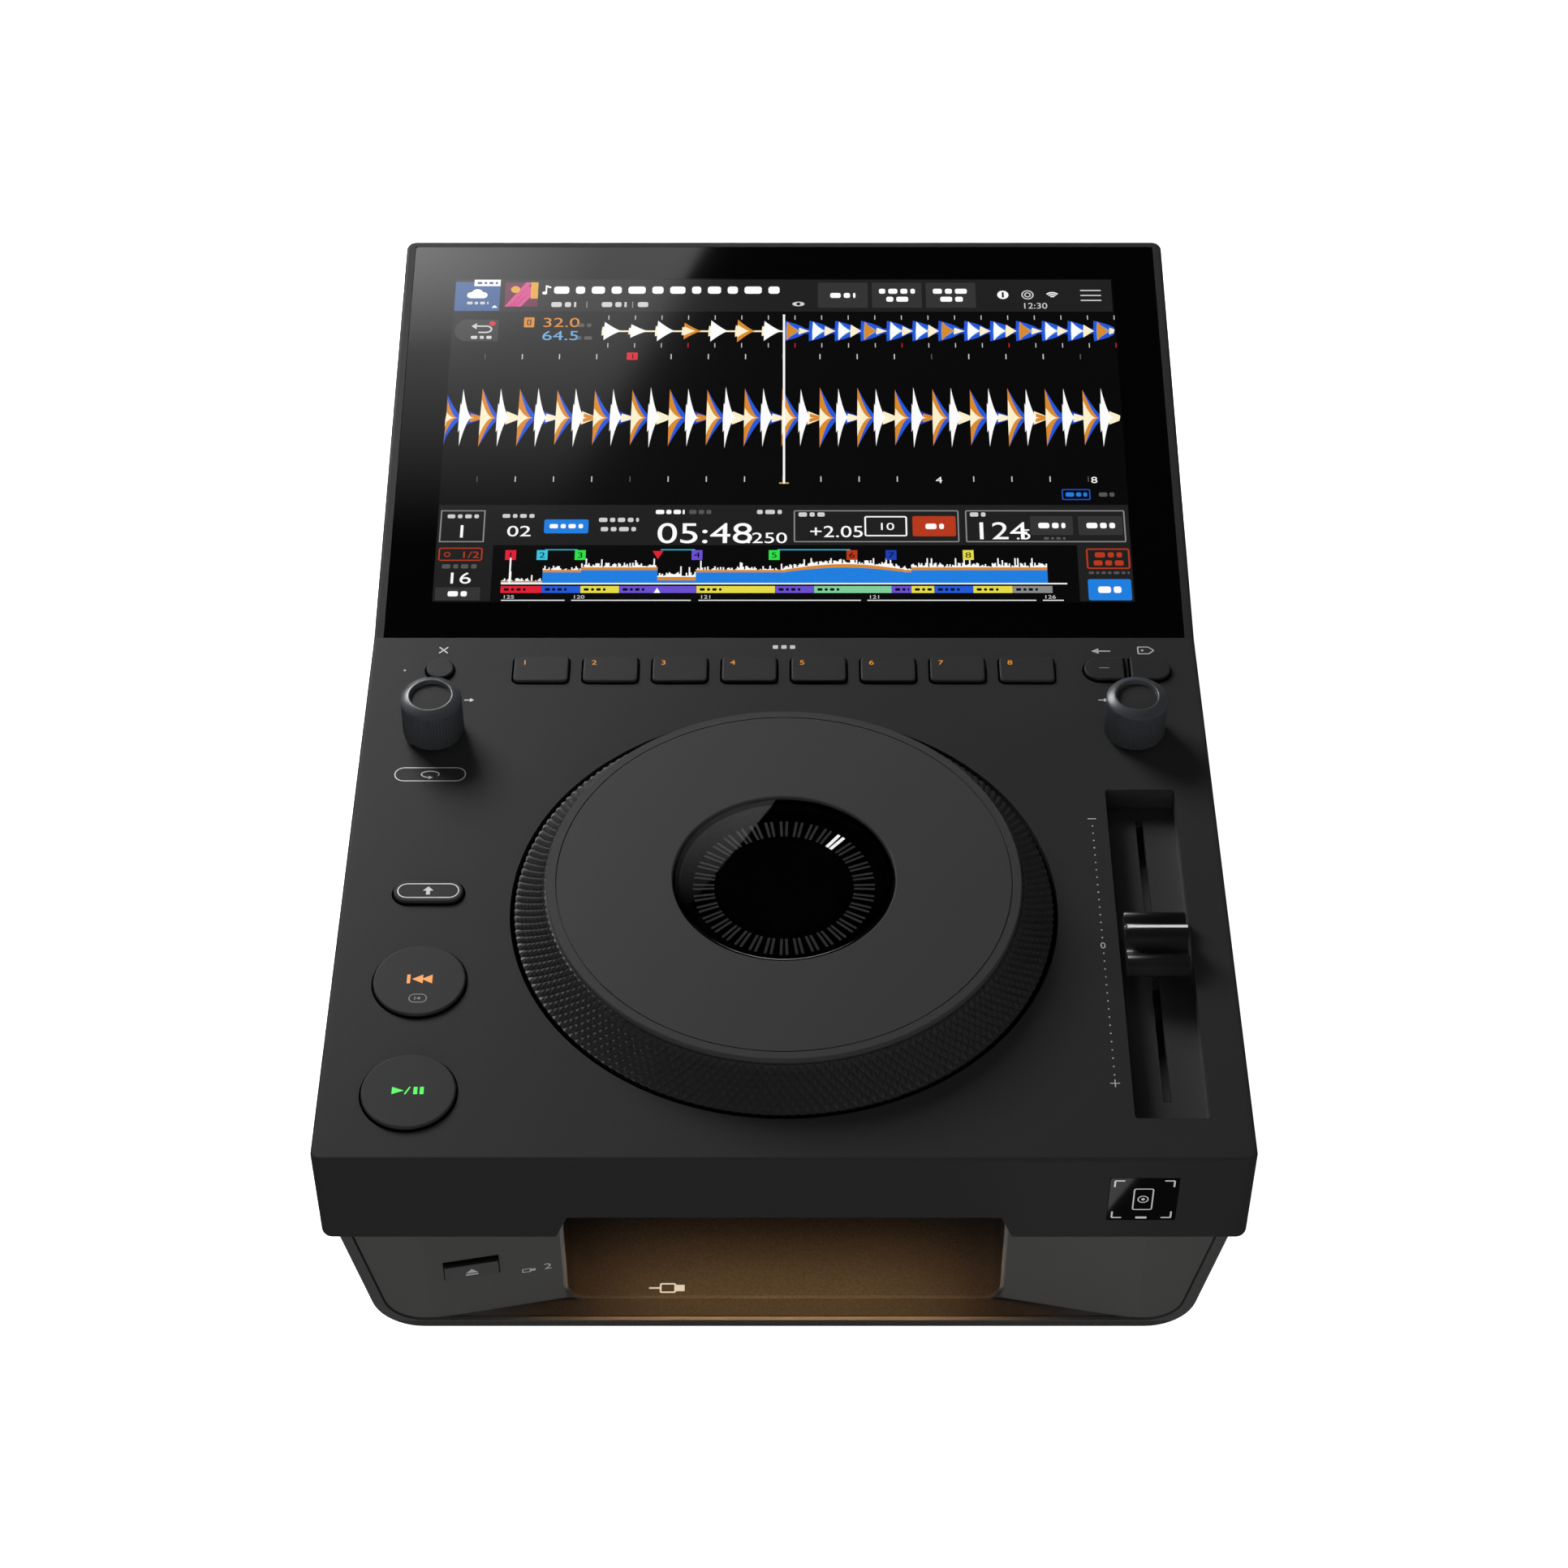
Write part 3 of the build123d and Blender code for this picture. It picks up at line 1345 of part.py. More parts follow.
def build_rotor(name, side):
    """Rotor that turns in the encoder: a contact disc and a sleeve that the shaft slides in."""
    place = (side * knob_x, knob_y)
    with BuildPart() as rotor:
        with BuildSketch(deck.offset(rotor_low + 0.3)):
            with Locations(place):
                Circle(rotor_disc)
        extrude(amount=1.4)
        with BuildSketch(deck.offset(rotor_low + 0.3)):
            with Locations(place):
                Circle(rotor_radius)
        extrude(amount=-rotor_low - 0.1)
        with BuildSketch(deck.offset(rotor_low + 0.3)):
            with Locations(place):
                Circle(spindle_radius + running_clearance)
        extrude(amount=board_drop + 1, mode=Mode.SUBTRACT)
    finish(rotor, f"rotor_{name}")


def build_shaft(name, side):
    """Shaft: a thin spindle in the rotor and a thick end for the knob."""
    place = (side * knob_x, knob_y)
    shoulder = knob_bottom - 0.2
    spindle_start = rotor_low + knob_travel + 0.3
    with BuildPart() as shaft:
        with BuildSketch(deck.offset(spindle_start)):
            with Locations(place):
                Circle(spindle_radius)
        extrude(amount=shoulder - spindle_start)
        with BuildSketch(deck.offset(shoulder)):
            with Locations(place):
                Circle(shaft_radius)
        extrude(amount=knob_top - knob_dish_depth - knob_roof - shoulder - 0.1)
    finish(shaft, f"shaft_{name}")


def build_knob(name, side):
    """Fluted knob with a dished top, a skirt and a hub on the shaft."""
    centre = Plane(
        origin=(side * knob_x, front_y + knob_y, deck_z), x_dir=(1, 0, 0), z_dir=(0, 0, 1)
    )
    roof = knob_top - knob_dish_depth - knob_roof
    with BuildPart() as knob:
        with BuildSketch(centre.offset(knob_bottom)):
            Circle(knob_radius)
        extrude(amount=knob_top - knob_bottom)
        chamfer(knob.edges().group_by(Axis.Z)[-1], 0.5)
        with BuildSketch(centre.offset(knob_bottom)):
            with PolarLocations(knob_radius, knob_flutes):
                Circle(knob_flute_radius)
        extrude(amount=knob_top - knob_bottom - 2.2, mode=Mode.SUBTRACT)
        with BuildSketch(centre.offset(knob_top)):
            Circle(knob_dish_radius)
        with BuildSketch(centre.offset(knob_top - knob_dish_depth)):
            Circle(knob_dish_floor_radius)
        loft(mode=Mode.SUBTRACT)
        with BuildSketch(centre.offset(knob_bottom)):
            Circle(knob_radius - knob_skirt_wall)
            Circle(knob_hub_radius, mode=Mode.SUBTRACT)
        extrude(amount=roof - knob_bottom - 1, mode=Mode.SUBTRACT)
        with BuildSketch(centre.offset(knob_bottom)):
            Circle(shaft_radius + running_clearance / 2)
        extrude(amount=roof - knob_bottom, mode=Mode.SUBTRACT)
    finish(knob, f"knob_{name}")


# ---------------------------------------------------------------- tempo fader
slot_y = fader_y + fader_slot_offset


def build_fader_tray():
    """Recessed tray under the deck, with a slot in its floor for the lever."""
    depth = fader_recess_depth + fader_tray_wall
    with BuildPart() as tray:
        with BuildSketch(deck.offset(-deck_thickness)):
            with Locations((fader_x, fader_y)):
                RectangleRounded(
                    fader_recess_width + 2 * fader_tray_wall,
                    fader_recess_length + 2 * fader_tray_wall,
                    fader_recess_corner + fader_tray_wall,
                )
        extrude(amount=-(depth - deck_thickness))
        with BuildSketch(deck.offset(-deck_thickness)):
            with Locations((fader_x, fader_y)):
                RectangleRounded(fader_recess_width, fader_recess_length, fader_recess_corner)
        extrude(amount=-(fader_recess_depth - deck_thickness), mode=Mode.SUBTRACT)
        with BuildSketch(deck.offset(-fader_recess_depth)):
            with Locations((fader_x, slot_y)):
                Rectangle(fader_slot_width, fader_slot_length)
        extrude(amount=-fader_tray_wall, mode=Mode.SUBTRACT)
    finish(tray, "fader_tray")


def build_fader_body():
    """Steel channel of the slide potentiometer."""
    top = -(fader_recess_depth + fader_tray_wall)
    with BuildPart() as body:
        with Locations((fader_x, front_y + slot_y, deck_z + top)):
            Box(fader_body_width, fader_body_length, fader_body_height,
                align=(Align.CENTER, Align.CENTER, Align.MAX))
        with Locations((fader_x, front_y + slot_y, deck_z + top - fader_body_wall)):
            Box(fader_body_width - 2 * fader_body_wall, fader_body_length - 4 * fader_body_wall,
                fader_body_height - 3 * fader_body_wall,
                align=(Align.CENTER, Align.CENTER, Align.MAX), mode=Mode.SUBTRACT)
        with Locations((fader_x, front_y + slot_y, deck_z + top)):
            Box(fader_slot_width, fader_slot_length, 2 * fader_body_wall + 1,
                align=(Align.CENTER, Align.CENTER, Align.CENTER), mode=Mode.SUBTRACT)
    finish(body, "fader_body")


def build_fader_lever():
    """Blade and carriage that slide in the channel."""
    channel_top = -(fader_recess_depth + fader_tray_wall + fader_body_wall)
    with BuildPart() as lever:
        with Locations((fader_x, front_y + slot_y, deck_z + channel_top - 0.2)):
            Box(fader_body_width - 2 * fader_body_wall - 0.4, carriage_length, carriage_height,
                align=(Align.CENTER, Align.CENTER, Align.MAX))
        with Locations((fader_x, front_y + slot_y, deck_z + channel_top - 1)):
            Box(fader_blade_thickness, fader_blade_width, blade_top - channel_top + 1,
                align=(Align.CENTER, Align.CENTER, Align.MIN))
    finish(lever, "fader_lever")


def build_fader_cap():
    """Cap with a central ridge between two hollows and a low lobe at each end."""
    half = cap_length / 2
    ridge = cap_ridge / 2
    lobe = half - cap_foot
    section = Plane(origin=(fader_x, front_y + fader_y, deck_z), x_dir=(0, 1, 0), z_dir=(1, 0, 0))
    with BuildPart() as cap:
        with BuildSketch(section):
            with BuildLine():
                Polyline((0, cap_top), (ridge, cap_top), (ridge + 0.5, cap_lobe_top))
                Spline((ridge + 0.5, cap_lobe_top), ((ridge + lobe) / 2, cap_valley), (lobe, cap_lobe_top))
                Polyline((lobe, cap_lobe_top), (half - cap_edge, cap_lobe_top - cap_edge),
                         (half, cap_bottom), (0, cap_bottom))
                mirror(about=Plane.YZ)
            make_face()
        extrude(amount=cap_width / 2, both=True)
        with Locations((fader_x, front_y + slot_y, deck_z + cap_bottom)):
            Box(fader_blade_thickness + 0.1, fader_blade_width + 0.1, blade_top + 0.1 - cap_bottom,
                align=(Align.CENTER, Align.CENTER, Align.MIN), mode=Mode.SUBTRACT)
    finish(cap, "fader_cap")


# ---------------------------------------------------------------- eject, power and rear sockets
def build_eject_button():
    """Rectangular key in the left facet, with its flange and stem behind."""
    behind = bay_wall + 0.1
    with BuildPart() as key:
        with BuildSketch(facet.offset(0.9)):
            with Locations((0, eject_z)):
                Rectangle(eject_width, eject_height)
        extrude(amount=-0.9 - behind)
        fillet(key.faces().sort_by(Axis.Y)[0].edges(), 0.3)
        with BuildSketch(facet.offset(-behind)):
            with Locations((0, eject_z)):
                Rectangle(eject_width + 1.6, eject_height + 1.6)
        extrude(amount=-1.0)
        with BuildSketch(facet.offset(-behind - 1.0)):
            with Locations((0, eject_z)):
                Circle(key_stem_radius)
        stem = bay_wall + eject_shelf_depth - switch_height - key_travel - 0.1 - behind - 1.0
        extrude(amount=-stem)
    finish(key, "eject_button")


def build_power_button():
    """Round power button and the switch body behind the rear plate."""
    with BuildPart() as button:
        with BuildSketch(rear_plane.offset(power_reach)):
            with Locations((-power_place[0], power_place[1])):
                Circle(power_radius)
        extrude(amount=-(power_reach + rear_plate_thickness + 3.2))
        fillet(button.edges().sort_by(Axis.Y)[-1], 0.6)
    finish(button, "power_button")
    with BuildPart() as switch:
        with BuildSketch(rear_plane.offset(-rear_plate_thickness)):
            with Locations((-power_place[0], power_place[1])):
                Rectangle(power_switch_size, power_switch_size)
                Circle(power_radius + key_clearance, mode=Mode.SUBTRACT)
        extrude(amount=-(4.0 + power_travel))
        with BuildSketch(rear_plane.offset(-rear_plate_thickness - 4.0 - power_travel)):
            with Locations((-power_place[0], power_place[1])):
                Rectangle(power_switch_size, power_switch_size)
        extrude(amount=-power_switch_depth)
    finish(switch, "power_switch")


def build_mains_inlet():
    """Three-pin appliance inlet with a flange behind the plate."""
    with BuildPart() as inlet:
        with BuildSketch(rear_plane.offset(1.0)):
            with Locations((-inlet_place[0], inlet_place[1])):
                Rectangle(inlet_width, inlet_height)
        extrude(amount=-inlet_body_depth)
        with BuildSketch(rear_plane.offset(1.0)):
            with Locations((-inlet_place[0], inlet_place[1])):
                Rectangle(inlet_mouth_width, inlet_mouth_height)
            chamfer(vertices().group_by(Axis.Y)[0], 3.4)
        extrude(amount=-inlet_mouth_depth, mode=Mode.SUBTRACT)
        with BuildSketch(rear_plane.offset(-inlet_mouth_depth)):
            with Locations((-inlet_place[0], inlet_place[1])):
                with Locations((-7, 1.6), (7, 1.6), (0, -2.9)):
                    Rectangle(2, 4)
        extrude(amount=inlet_mouth_depth - 2)
        with BuildSketch(rear_plane.offset(-rear_plate_thickness)):
            with Locations((-inlet_place[0], inlet_place[1])):
                Rectangle(inlet_width + 5, inlet_height + 4)
                Rectangle(inlet_width - 2, inlet_height - 2, mode=Mode.SUBTRACT)
        extrude(amount=-2)
    finish(inlet, "mains_inlet")


def build_network_socket():
    """Network socket standing on the main board."""
    with BuildPart() as socket:
        with BuildSketch(rear_plane.offset(0.5)):
            with Locations((-network_place[0], network_place[1])):
                Rectangle(network_width, network_height)
        extrude(amount=-network_depth)
        with BuildSketch(rear_plane.offset(0.5)):
            with Locations((-network_place[0], network_place[1] + 0.4)):
                Rectangle(11.9, 8.4)
            with Locations((-network_place[0], network_place[1] - 3.8 - 0.8)):
                Rectangle(6.2, 2.4)
        extrude(amount=-(network_depth - 2), mode=Mode.SUBTRACT)
    finish(socket, "network_socket")


def build_audio_jacks():
    """Pair of audio output jacks in one block."""
    left = -audio_place[0] - audio_spacing / 2
    right = -audio_place[0] + audio_spacing / 2
    with BuildPart() as jacks:
        with BuildSketch(rear_plane.offset(-rear_plate_thickness)):
            with Locations((-audio_place[0], audio_place[1])):
                Rectangle(audio_width, audio_height)
        extrude(amount=-audio_depth)
        with BuildSketch(rear_plane.offset(-rear_plate_thickness)):
            with Locations((left, audio_place[1]), (right, audio_place[1])):
                Circle(barrel_radius)
        extrude(amount=barrel_length + rear_plate_thickness)
        with BuildSketch(rear_plane.offset(barrel_length)):
            with Locations((left, audio_place[1]), (right, audio_place[1])):
                Circle(barrel_bore)
        extrude(amount=-(barrel_length + 4), mode=Mode.SUBTRACT)
    finish(jacks, "audio_jacks")


build_top_panel()
build_lower_case()
build_usb_bay()
build_bay_light_bar()
build_rear_panel()
build_feet()
build_case_screws()
build_screen()
build_reader()
build_jog_base()
build_jog_display()
build_jog_bearing()
build_jog_hub()
build_jog_ring()
build_jog_top_plate()
build_encoder_disc()
build_jog_sensor()
for key_name, key_place, key_outline, key_rise in keys:
    build_key(key_name, key_place, key_outline, key_rise)
build_tact_switches()
build_boards()
build_main_board()
build_power_supply()
build_usb_board()
build_usb_sockets()
for knob_name, knob_side in (("left", -1), ("right", 1)):
    build_encoder(knob_name, knob_side)
    build_rotor(knob_name, knob_side)
    build_shaft(knob_name, knob_side)
    build_knob(knob_name, knob_side)
build_fader_tray()
build_fader_body()
build_fader_lever()
build_fader_cap()
build_eject_button()
build_power_button()
build_mains_inlet()
build_network_socket()
build_audio_jacks()
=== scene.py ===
"""Looks of the tabletop DJ media player: finishes, screen picture, printed marks and studio.

Lengths are written in millimetres and turned into metres by MM. Most places are measured as on
the bench: X from the middle, Y back from the deck's front edge, Z up from the deck.
"""
import random
from math import atan2, cos, hypot, pi, radians, sin, tan

import bmesh
import bpy
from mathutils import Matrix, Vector


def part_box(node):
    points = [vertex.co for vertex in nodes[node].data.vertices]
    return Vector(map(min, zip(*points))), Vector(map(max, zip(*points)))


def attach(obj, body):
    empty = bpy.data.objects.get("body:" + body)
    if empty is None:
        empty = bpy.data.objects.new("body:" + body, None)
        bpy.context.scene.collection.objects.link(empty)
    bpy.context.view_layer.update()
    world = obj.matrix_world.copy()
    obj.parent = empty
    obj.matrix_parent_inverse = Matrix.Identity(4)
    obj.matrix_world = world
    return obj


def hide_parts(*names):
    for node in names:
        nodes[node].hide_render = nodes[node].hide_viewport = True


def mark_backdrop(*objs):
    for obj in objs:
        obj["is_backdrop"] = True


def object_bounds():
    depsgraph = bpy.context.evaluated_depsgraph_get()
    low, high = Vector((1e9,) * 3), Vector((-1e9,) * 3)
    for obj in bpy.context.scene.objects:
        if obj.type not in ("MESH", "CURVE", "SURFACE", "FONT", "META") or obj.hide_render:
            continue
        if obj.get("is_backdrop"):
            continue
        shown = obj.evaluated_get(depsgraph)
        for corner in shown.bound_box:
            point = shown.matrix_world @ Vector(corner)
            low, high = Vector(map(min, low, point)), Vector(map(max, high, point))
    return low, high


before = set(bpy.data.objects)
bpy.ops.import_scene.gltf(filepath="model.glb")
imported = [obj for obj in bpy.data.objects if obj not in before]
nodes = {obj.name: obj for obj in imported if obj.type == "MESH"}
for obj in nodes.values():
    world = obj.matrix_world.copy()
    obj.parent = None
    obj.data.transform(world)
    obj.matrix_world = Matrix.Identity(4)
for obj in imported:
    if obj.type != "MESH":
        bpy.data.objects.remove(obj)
cad_low, cad_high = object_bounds()
MM = 0.001

# ---- sizes shared with the frame
screen_tilt = radians(10.33)
deck_length = 201.5
jog_lens_height = 11.4
jog_display_height = 6.9
front_y = cad_low.y / MM
deck_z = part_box("jog_lens")[1].z / MM - jog_lens_height
fold_y = front_y + deck_length
jog_y = 90.93
facet_half_span = 98.5
facet_start_y = 3.6
facet_angle = atan2(7.0, facet_half_span - 60.8)
pocket_y = 10.6
pocket_floor_z = -75.6
pocket_floor = deck_z + pocket_floor_z
pocket_half = 61.5
knob_y = 160.4
cap_top = 8.4
cap_half = 10.75
cap_foot = -0.5

# Display panel: 1280 by 800 dots
panel_columns = 1280
panel_rows = 800
panel_width = 215.6
panel_length = 133.6
panel_start = 13.7
dot_x = panel_width / panel_columns
dot_y = panel_length / panel_rows
ink_lift = 0.03
layer_step = 0.012
cap_share = 0.70


def deck_point(x, y, z):
    """Point at X, at Y behind the deck's front edge and at Z over the deck."""
    return Vector((x, front_y + y, deck_z + z)) * MM


def slope_point(x, along, lift):
    """Point on the screen slope: X, distance up from the fold and height over the glass."""
    return Vector((
        x,
        fold_y + along * cos(screen_tilt) - lift * sin(screen_tilt),
        deck_z + along * sin(screen_tilt) + lift * cos(screen_tilt),
    )) * MM


def panel_point(x, y, lift):
    """Point on the display, in dots from its upper left corner."""
    return slope_point((x - panel_columns / 2) * dot_x, panel_start + (panel_rows - y) * dot_y, lift)


def front_point(x, z, lift):
    """Point on the vertical front face, at X and Z over the deck."""
    return Vector((x, front_y - lift, deck_z + z)) * MM


def facet_point(x, z, lift):
    """Point on the left slanted facet beside the bay, at X and Z over the deck."""
    y = facet_start_y + (facet_half_span + x) * tan(facet_angle)
    return deck_point(x + lift * sin(facet_angle), y - lift * cos(facet_angle), z)


def middle_of(node):
    """Middle of a CAD node seen from above: X and Y behind the deck's front edge."""
    low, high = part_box(node)
    return (low.x + high.x) / 2 / MM, (low.y + high.y) / 2 / MM - front_y


# ---- materials
def linear(code):
    """Linear RGBA of a screen colour written as RRGGBB."""
    channels = [int(code[i:i + 2], 16) / 255 for i in (0, 2, 4)]
    return [c / 12.92 if c <= 0.04045 else ((c + 0.055) / 1.055) ** 2.4 for c in channels] + [1]


def new_material(name):
    """Node material with its Principled shader, returned with the node tree."""
    material = bpy.data.materials.new(name)
    material.use_nodes = True
    tree = material.node_tree
    return material, tree, tree.nodes["Principled BSDF"]


def feed(tree, node, **values):
    """Set inputs of a node, named as they are or in_ and a number; a value may be an output to link."""
    for key, value in values.items():
        key = key.removeprefix("in_").replace("_", " ")
        socket = node.inputs[int(key) if key.isdigit() else key]
        if isinstance(value, bpy.types.NodeSocket):
            tree.links.new(value, socket)
        else:
            socket.default_value = value


def add_node(tree, kind, inputs=None, **settings):
    """New shader node with its inputs and other settings."""
    node = tree.nodes.new("ShaderNode" + kind)
    for key, value in settings.items():
        setattr(node, key, value)
    feed(tree, node, **(inputs or {}))
    return node


def place_socket(tree, kind="Object"):
    """Place of a point in the model's own frame."""
    return add_node(tree, "TexCoord").outputs[kind]


def noise(tree, scale, detail, roughness=0.5):
    """Cloudy pattern fixed to the model."""
    inputs = dict(Scale=scale, Detail=detail, Roughness=roughness, Vector=place_socket(tree))
    return add_node(tree, "TexNoise", inputs).outputs["Fac"]


def ranged(tree, value, start=0.0, end=1.0, low=0.0, high=1.0, ease="LINEAR"):
    """Value that goes from low to high as another goes from start to end."""
    inputs = dict(Value=value, From_Min=start, From_Max=end, To_Min=low, To_Max=high)
    return add_node(tree, "MapRange", inputs, clamp=True, interpolation_type=ease).outputs[0]


def calc(tree, operation, first, second=0.0):
    """Result of a math operation."""
    return add_node(tree, "Math", dict(in_0=first, in_1=second), operation=operation).outputs[0]


def blended(tree, share, first, second):
    """Colour between two others."""
    return add_node(tree, "Mix", dict(in_0=share, in_6=first, in_7=second), data_type="RGBA").outputs[2]


def shaded(base, factor):
    """RGBA of a colour made darker or paler."""
    return [min(1.0, c * factor) for c in base[:3]] + [1]


def mottled(name, base, roughness, grain=0.45, bump=0.12, shade=0.10, specular=0.5, coarse=14.0):
    """Moulded or painted surface: two shades mixed by a soft cloud, and a fine moulded grain.

    grain and coarse are feature sizes in millimetres, bump is the strength of the grain and
    shade is how far the two shades lie apart.
    """
    material, tree, shader = new_material(name)
    fine = noise(tree, 1000 / grain, 3.0, 0.65)
    mixed = calc(tree, "MULTIPLY", calc(tree, "ADD", noise(tree, 1000 / coarse, 4.0), fine), 0.5)
    relief = add_node(tree, "Bump", dict(Strength=bump, Distance=grain * MM * 0.25, Height=fine))
    feed(
        tree, shader,
        Base_Color=blended(tree, mixed, shaded(base, 1 - shade), shaded(base, 1 + shade)),
        Roughness=ranged(tree, fine, low=roughness - 0.06, high=roughness + 0.06),
        Normal=relief.outputs[0],
        Specular_IOR_Level=specular,
    )
    return material


def glossy(name, base, roughness, smudge, **looks):
    """Glass or lacquer with a faint unevenness in its shine."""
    material, tree, shader = new_material(name)
    shine = ranged(tree, noise(tree, 18.0, 3.0), low=roughness, high=roughness + smudge)
    feed(tree, shader, Base_Color=base, Roughness=shine, **looks)
    return material


def layered(material, mask, base):
    """Lay a second colour over a mottled material where a mask says so."""
    tree = material.node_tree
    colour = tree.nodes["Principled BSDF"].inputs["Base Color"]
    specks = ranged(tree, noise(tree, 1500.0, 2.0, 0.7), 0.35, 0.65)
    coat = blended(tree, specks, shaded(base, 0.75), shaded(base, 1.25))
    tree.links.new(blended(tree, mask, colour.links[0].from_socket, coat), colour)
    return material


def step(tree, axis, start, end, sides=False):
    """Mask that rises from 0 to 1 between two places in millimetres along an axis of the model."""
    value = add_node(tree, "SeparateXYZ", dict(in_0=place_socket(tree))).outputs[axis]
    if sides:
        value = calc(tree, "ABSOLUTE", value)
    return ranged(tree, value, start * MM, end * MM)


def bay_coat_with_painted_shade(name, facet, pocket):
    """Painted facets; a darker speckled coat in the pocket and on the lip before it: the specks are the
    coat's own, its darkness partly painted shade, darker still in front of the mouth as painted shade.
    """
    material = mottled(name, facet, 0.50, grain=0.5, bump=0.2, shade=0.06, specular=0.1)
    tree = material.node_tree
    seam = 0.1
    lip_half = 60.0
    lip_end = 84.0
    mouth = front_y + pocket_y
    inside = step(tree, "X", pocket_half + seam, pocket_half - seam, sides=True)
    behind = step(tree, "Y", mouth - seam, mouth + seam)
    low = step(tree, "Z", pocket_floor + 0.4, pocket_floor + 0.2)
    near = step(tree, "X", lip_end, lip_half, sides=True)
    lip_shade_mask = calc(tree, "MULTIPLY", low, near)
    # darker speckled coat in the pocket and on the floor strip: specks are the coat's own, the darkness is
    # partly painted shade
    layered(material, calc(tree, "MAXIMUM", calc(tree, "MULTIPLY", inside, behind), lip_shade_mask), pocket)
    # painted shade: the floor strip in front of the mouth is darker still
    front = step(tree, "Y", mouth + seam, mouth - seam)
    return layered(material, calc(tree, "MULTIPLY", lip_shade_mask, front), [c * 0.85 for c in pocket])


def hull_coat(name, base, band):
    """Painted hull with a darker band along the foot of its front."""
    material = mottled(name, base, 0.50, grain=0.35, bump=0.16, shade=0.06, specular=0.1)
    tree = material.node_tree
    front = step(tree, "Y", front_y + 5.2, front_y + 4.8)
    low = step(tree, "Z", pocket_floor - 0.1, pocket_floor - 0.4)
    return layered(material, calc(tree, "MULTIPLY", front, low), band)


def key_top_and_shaded_skirt(name, base, top):
    """Satin top of a key over a black skirt, the black partly the skirt's own colour and partly painted shade
    of the gap round the key; top is its height in the model.
    """
    material = mottled(name, base, 0.48, grain=0.3, bump=0.1, specular=0.06)
    skirt = top - 0.62
    # painted shade: black from 0.62 mm under the top down, for the shaded gap round the key as well as its
    # skirt
    below = step(material.node_tree, "Z", skirt, skirt - 0.15)
    return layered(material, below, grey(0.0015))


def metal(name, base, roughness):
    """Bare metal with a fine uneven shine."""
    material = mottled(name, base, roughness, grain=0.3, bump=0.05, shade=0.08)
    material.node_tree.nodes["Principled BSDF"].inputs["Metallic"].default_value = 1.0
    return material


def circuit(name):
    """Green board with paler copper runs and pads under the lacquer."""
    material, tree, shader = new_material(name)
    runs = add_node(tree, "TexBrick", dict(
        Vector=place_socket(tree), Scale=160.0, Mortar_Size=0.03, Mortar=(0.03, 0.17, 0.07, 1),
        Color1=(0.012, 0.09, 0.035, 1), Color2=(0.010, 0.075, 0.030, 1),
    ))
    feed(tree, shader, Base_Color=runs.outputs["Color"], Roughness=0.35)
    return material


def glowing(name, colour, strength=1.0, roughness=0.08):
    """Ink or dots that give their own light; the cover over them stays as glossy as its sheet."""
    material, tree, shader = new_material(name)
    tint = blended(tree, noise(tree, 900.0, 1.0), shaded(colour, 0.94), shaded(colour, 1.04))
    feed(tree, shader, Emission_Color=tint, Emission_Strength=strength, Base_Color=(0.002, 0.002, 0.002, 1),
         Roughness=roughness)
    return material


def grey(value):
    """Plain grey base colour."""
    return (value, value, value)


finishes = {
    "top_panel": mottled("deck_finish", (0.027, 0.027, 0.0274), 0.50, grain=0.35, bump=0.16, shade=0.05,
                         specular=0.05),
    "lower_case": hull_coat("hull_finish", (0.068, 0.068, 0.067), (0.040, 0.040, 0.039)),
    "usb_bay": bay_coat_with_painted_shade("bay_finish_and_shade", (0.082, 0.081, 0.079), grey(0.020)),
    "bay_light_bar": glowing("light_bar", (1.0, 0.42, 0.08, 1), 6.0, 0.4),
    "rear_panel": mottled("rear_coat", (0.03, 0.03, 0.031), 0.42, grain=0.5, bump=0.2),
    "feet": mottled("foot_rubber", grey(0.018), 0.75, grain=0.5, bump=0.3),
    "case_screws": metal("screw_steel", (0.42, 0.42, 0.43), 0.34),
    "screen_glass": glossy("cover_glass", (0.0012, 0.0012, 0.0014, 1), 0.03, 0.02, Specular_IOR_Level=0.45),
    "reader_window": glossy("reader_gloss", (0.0012, 0.0012, 0.0014, 1), 0.05, 0.03, Specular_IOR_Level=0.12),
    "jog_lens": glossy("lens_clear", (0.96, 0.96, 0.97, 1), 0.0, 0.01, Transmission_Weight=1.0, IOR=1.45),
    "jog_display": mottled("display_black", (0.0015, 0.0015, 0.0016), 0.6, specular=0.0),
    "jog_top_plate": mottled("plate_satin", (0.044, 0.044, 0.0443), 0.5, grain=0.3, bump=0.14, shade=0.05,
                             specular=0.06),
    "jog_hub": mottled("hub_black", grey(0.02), 0.55),
    # painted shade: the bowl is made near-black so the gap round the jog ring reads as shade
    "jog_base": mottled("bowl_black_and_shade", grey(0.0025), 0.7, specular=0.05),
    "fader_tray": mottled("tray_black", (0.022, 0.022, 0.023), 0.5, grain=0.35),
    "fader_lever": metal("lever_steel", grey(0.5), 0.3),
    "fader_body": metal("pot_steel", grey(0.5), 0.35),
}
ring_finish = mottled("grip_rubber", (0.020, 0.020, 0.0203), 0.42, grain=0.3, bump=0.06, specular=0.4)
knob_finish = mottled("knob_grip", (0.042, 0.046, 0.052), 0.36, grain=0.3, bump=0.06, specular=0.4)
knob_insert = mottled("knob_insert", (0.030, 0.030, 0.0305), 0.55, grain=0.3, bump=0.1, specular=0.05)
cap_finish = mottled("cap_satin", (0.009, 0.009, 0.0095), 0.33, grain=0.3, bump=0.05, specular=0.3)
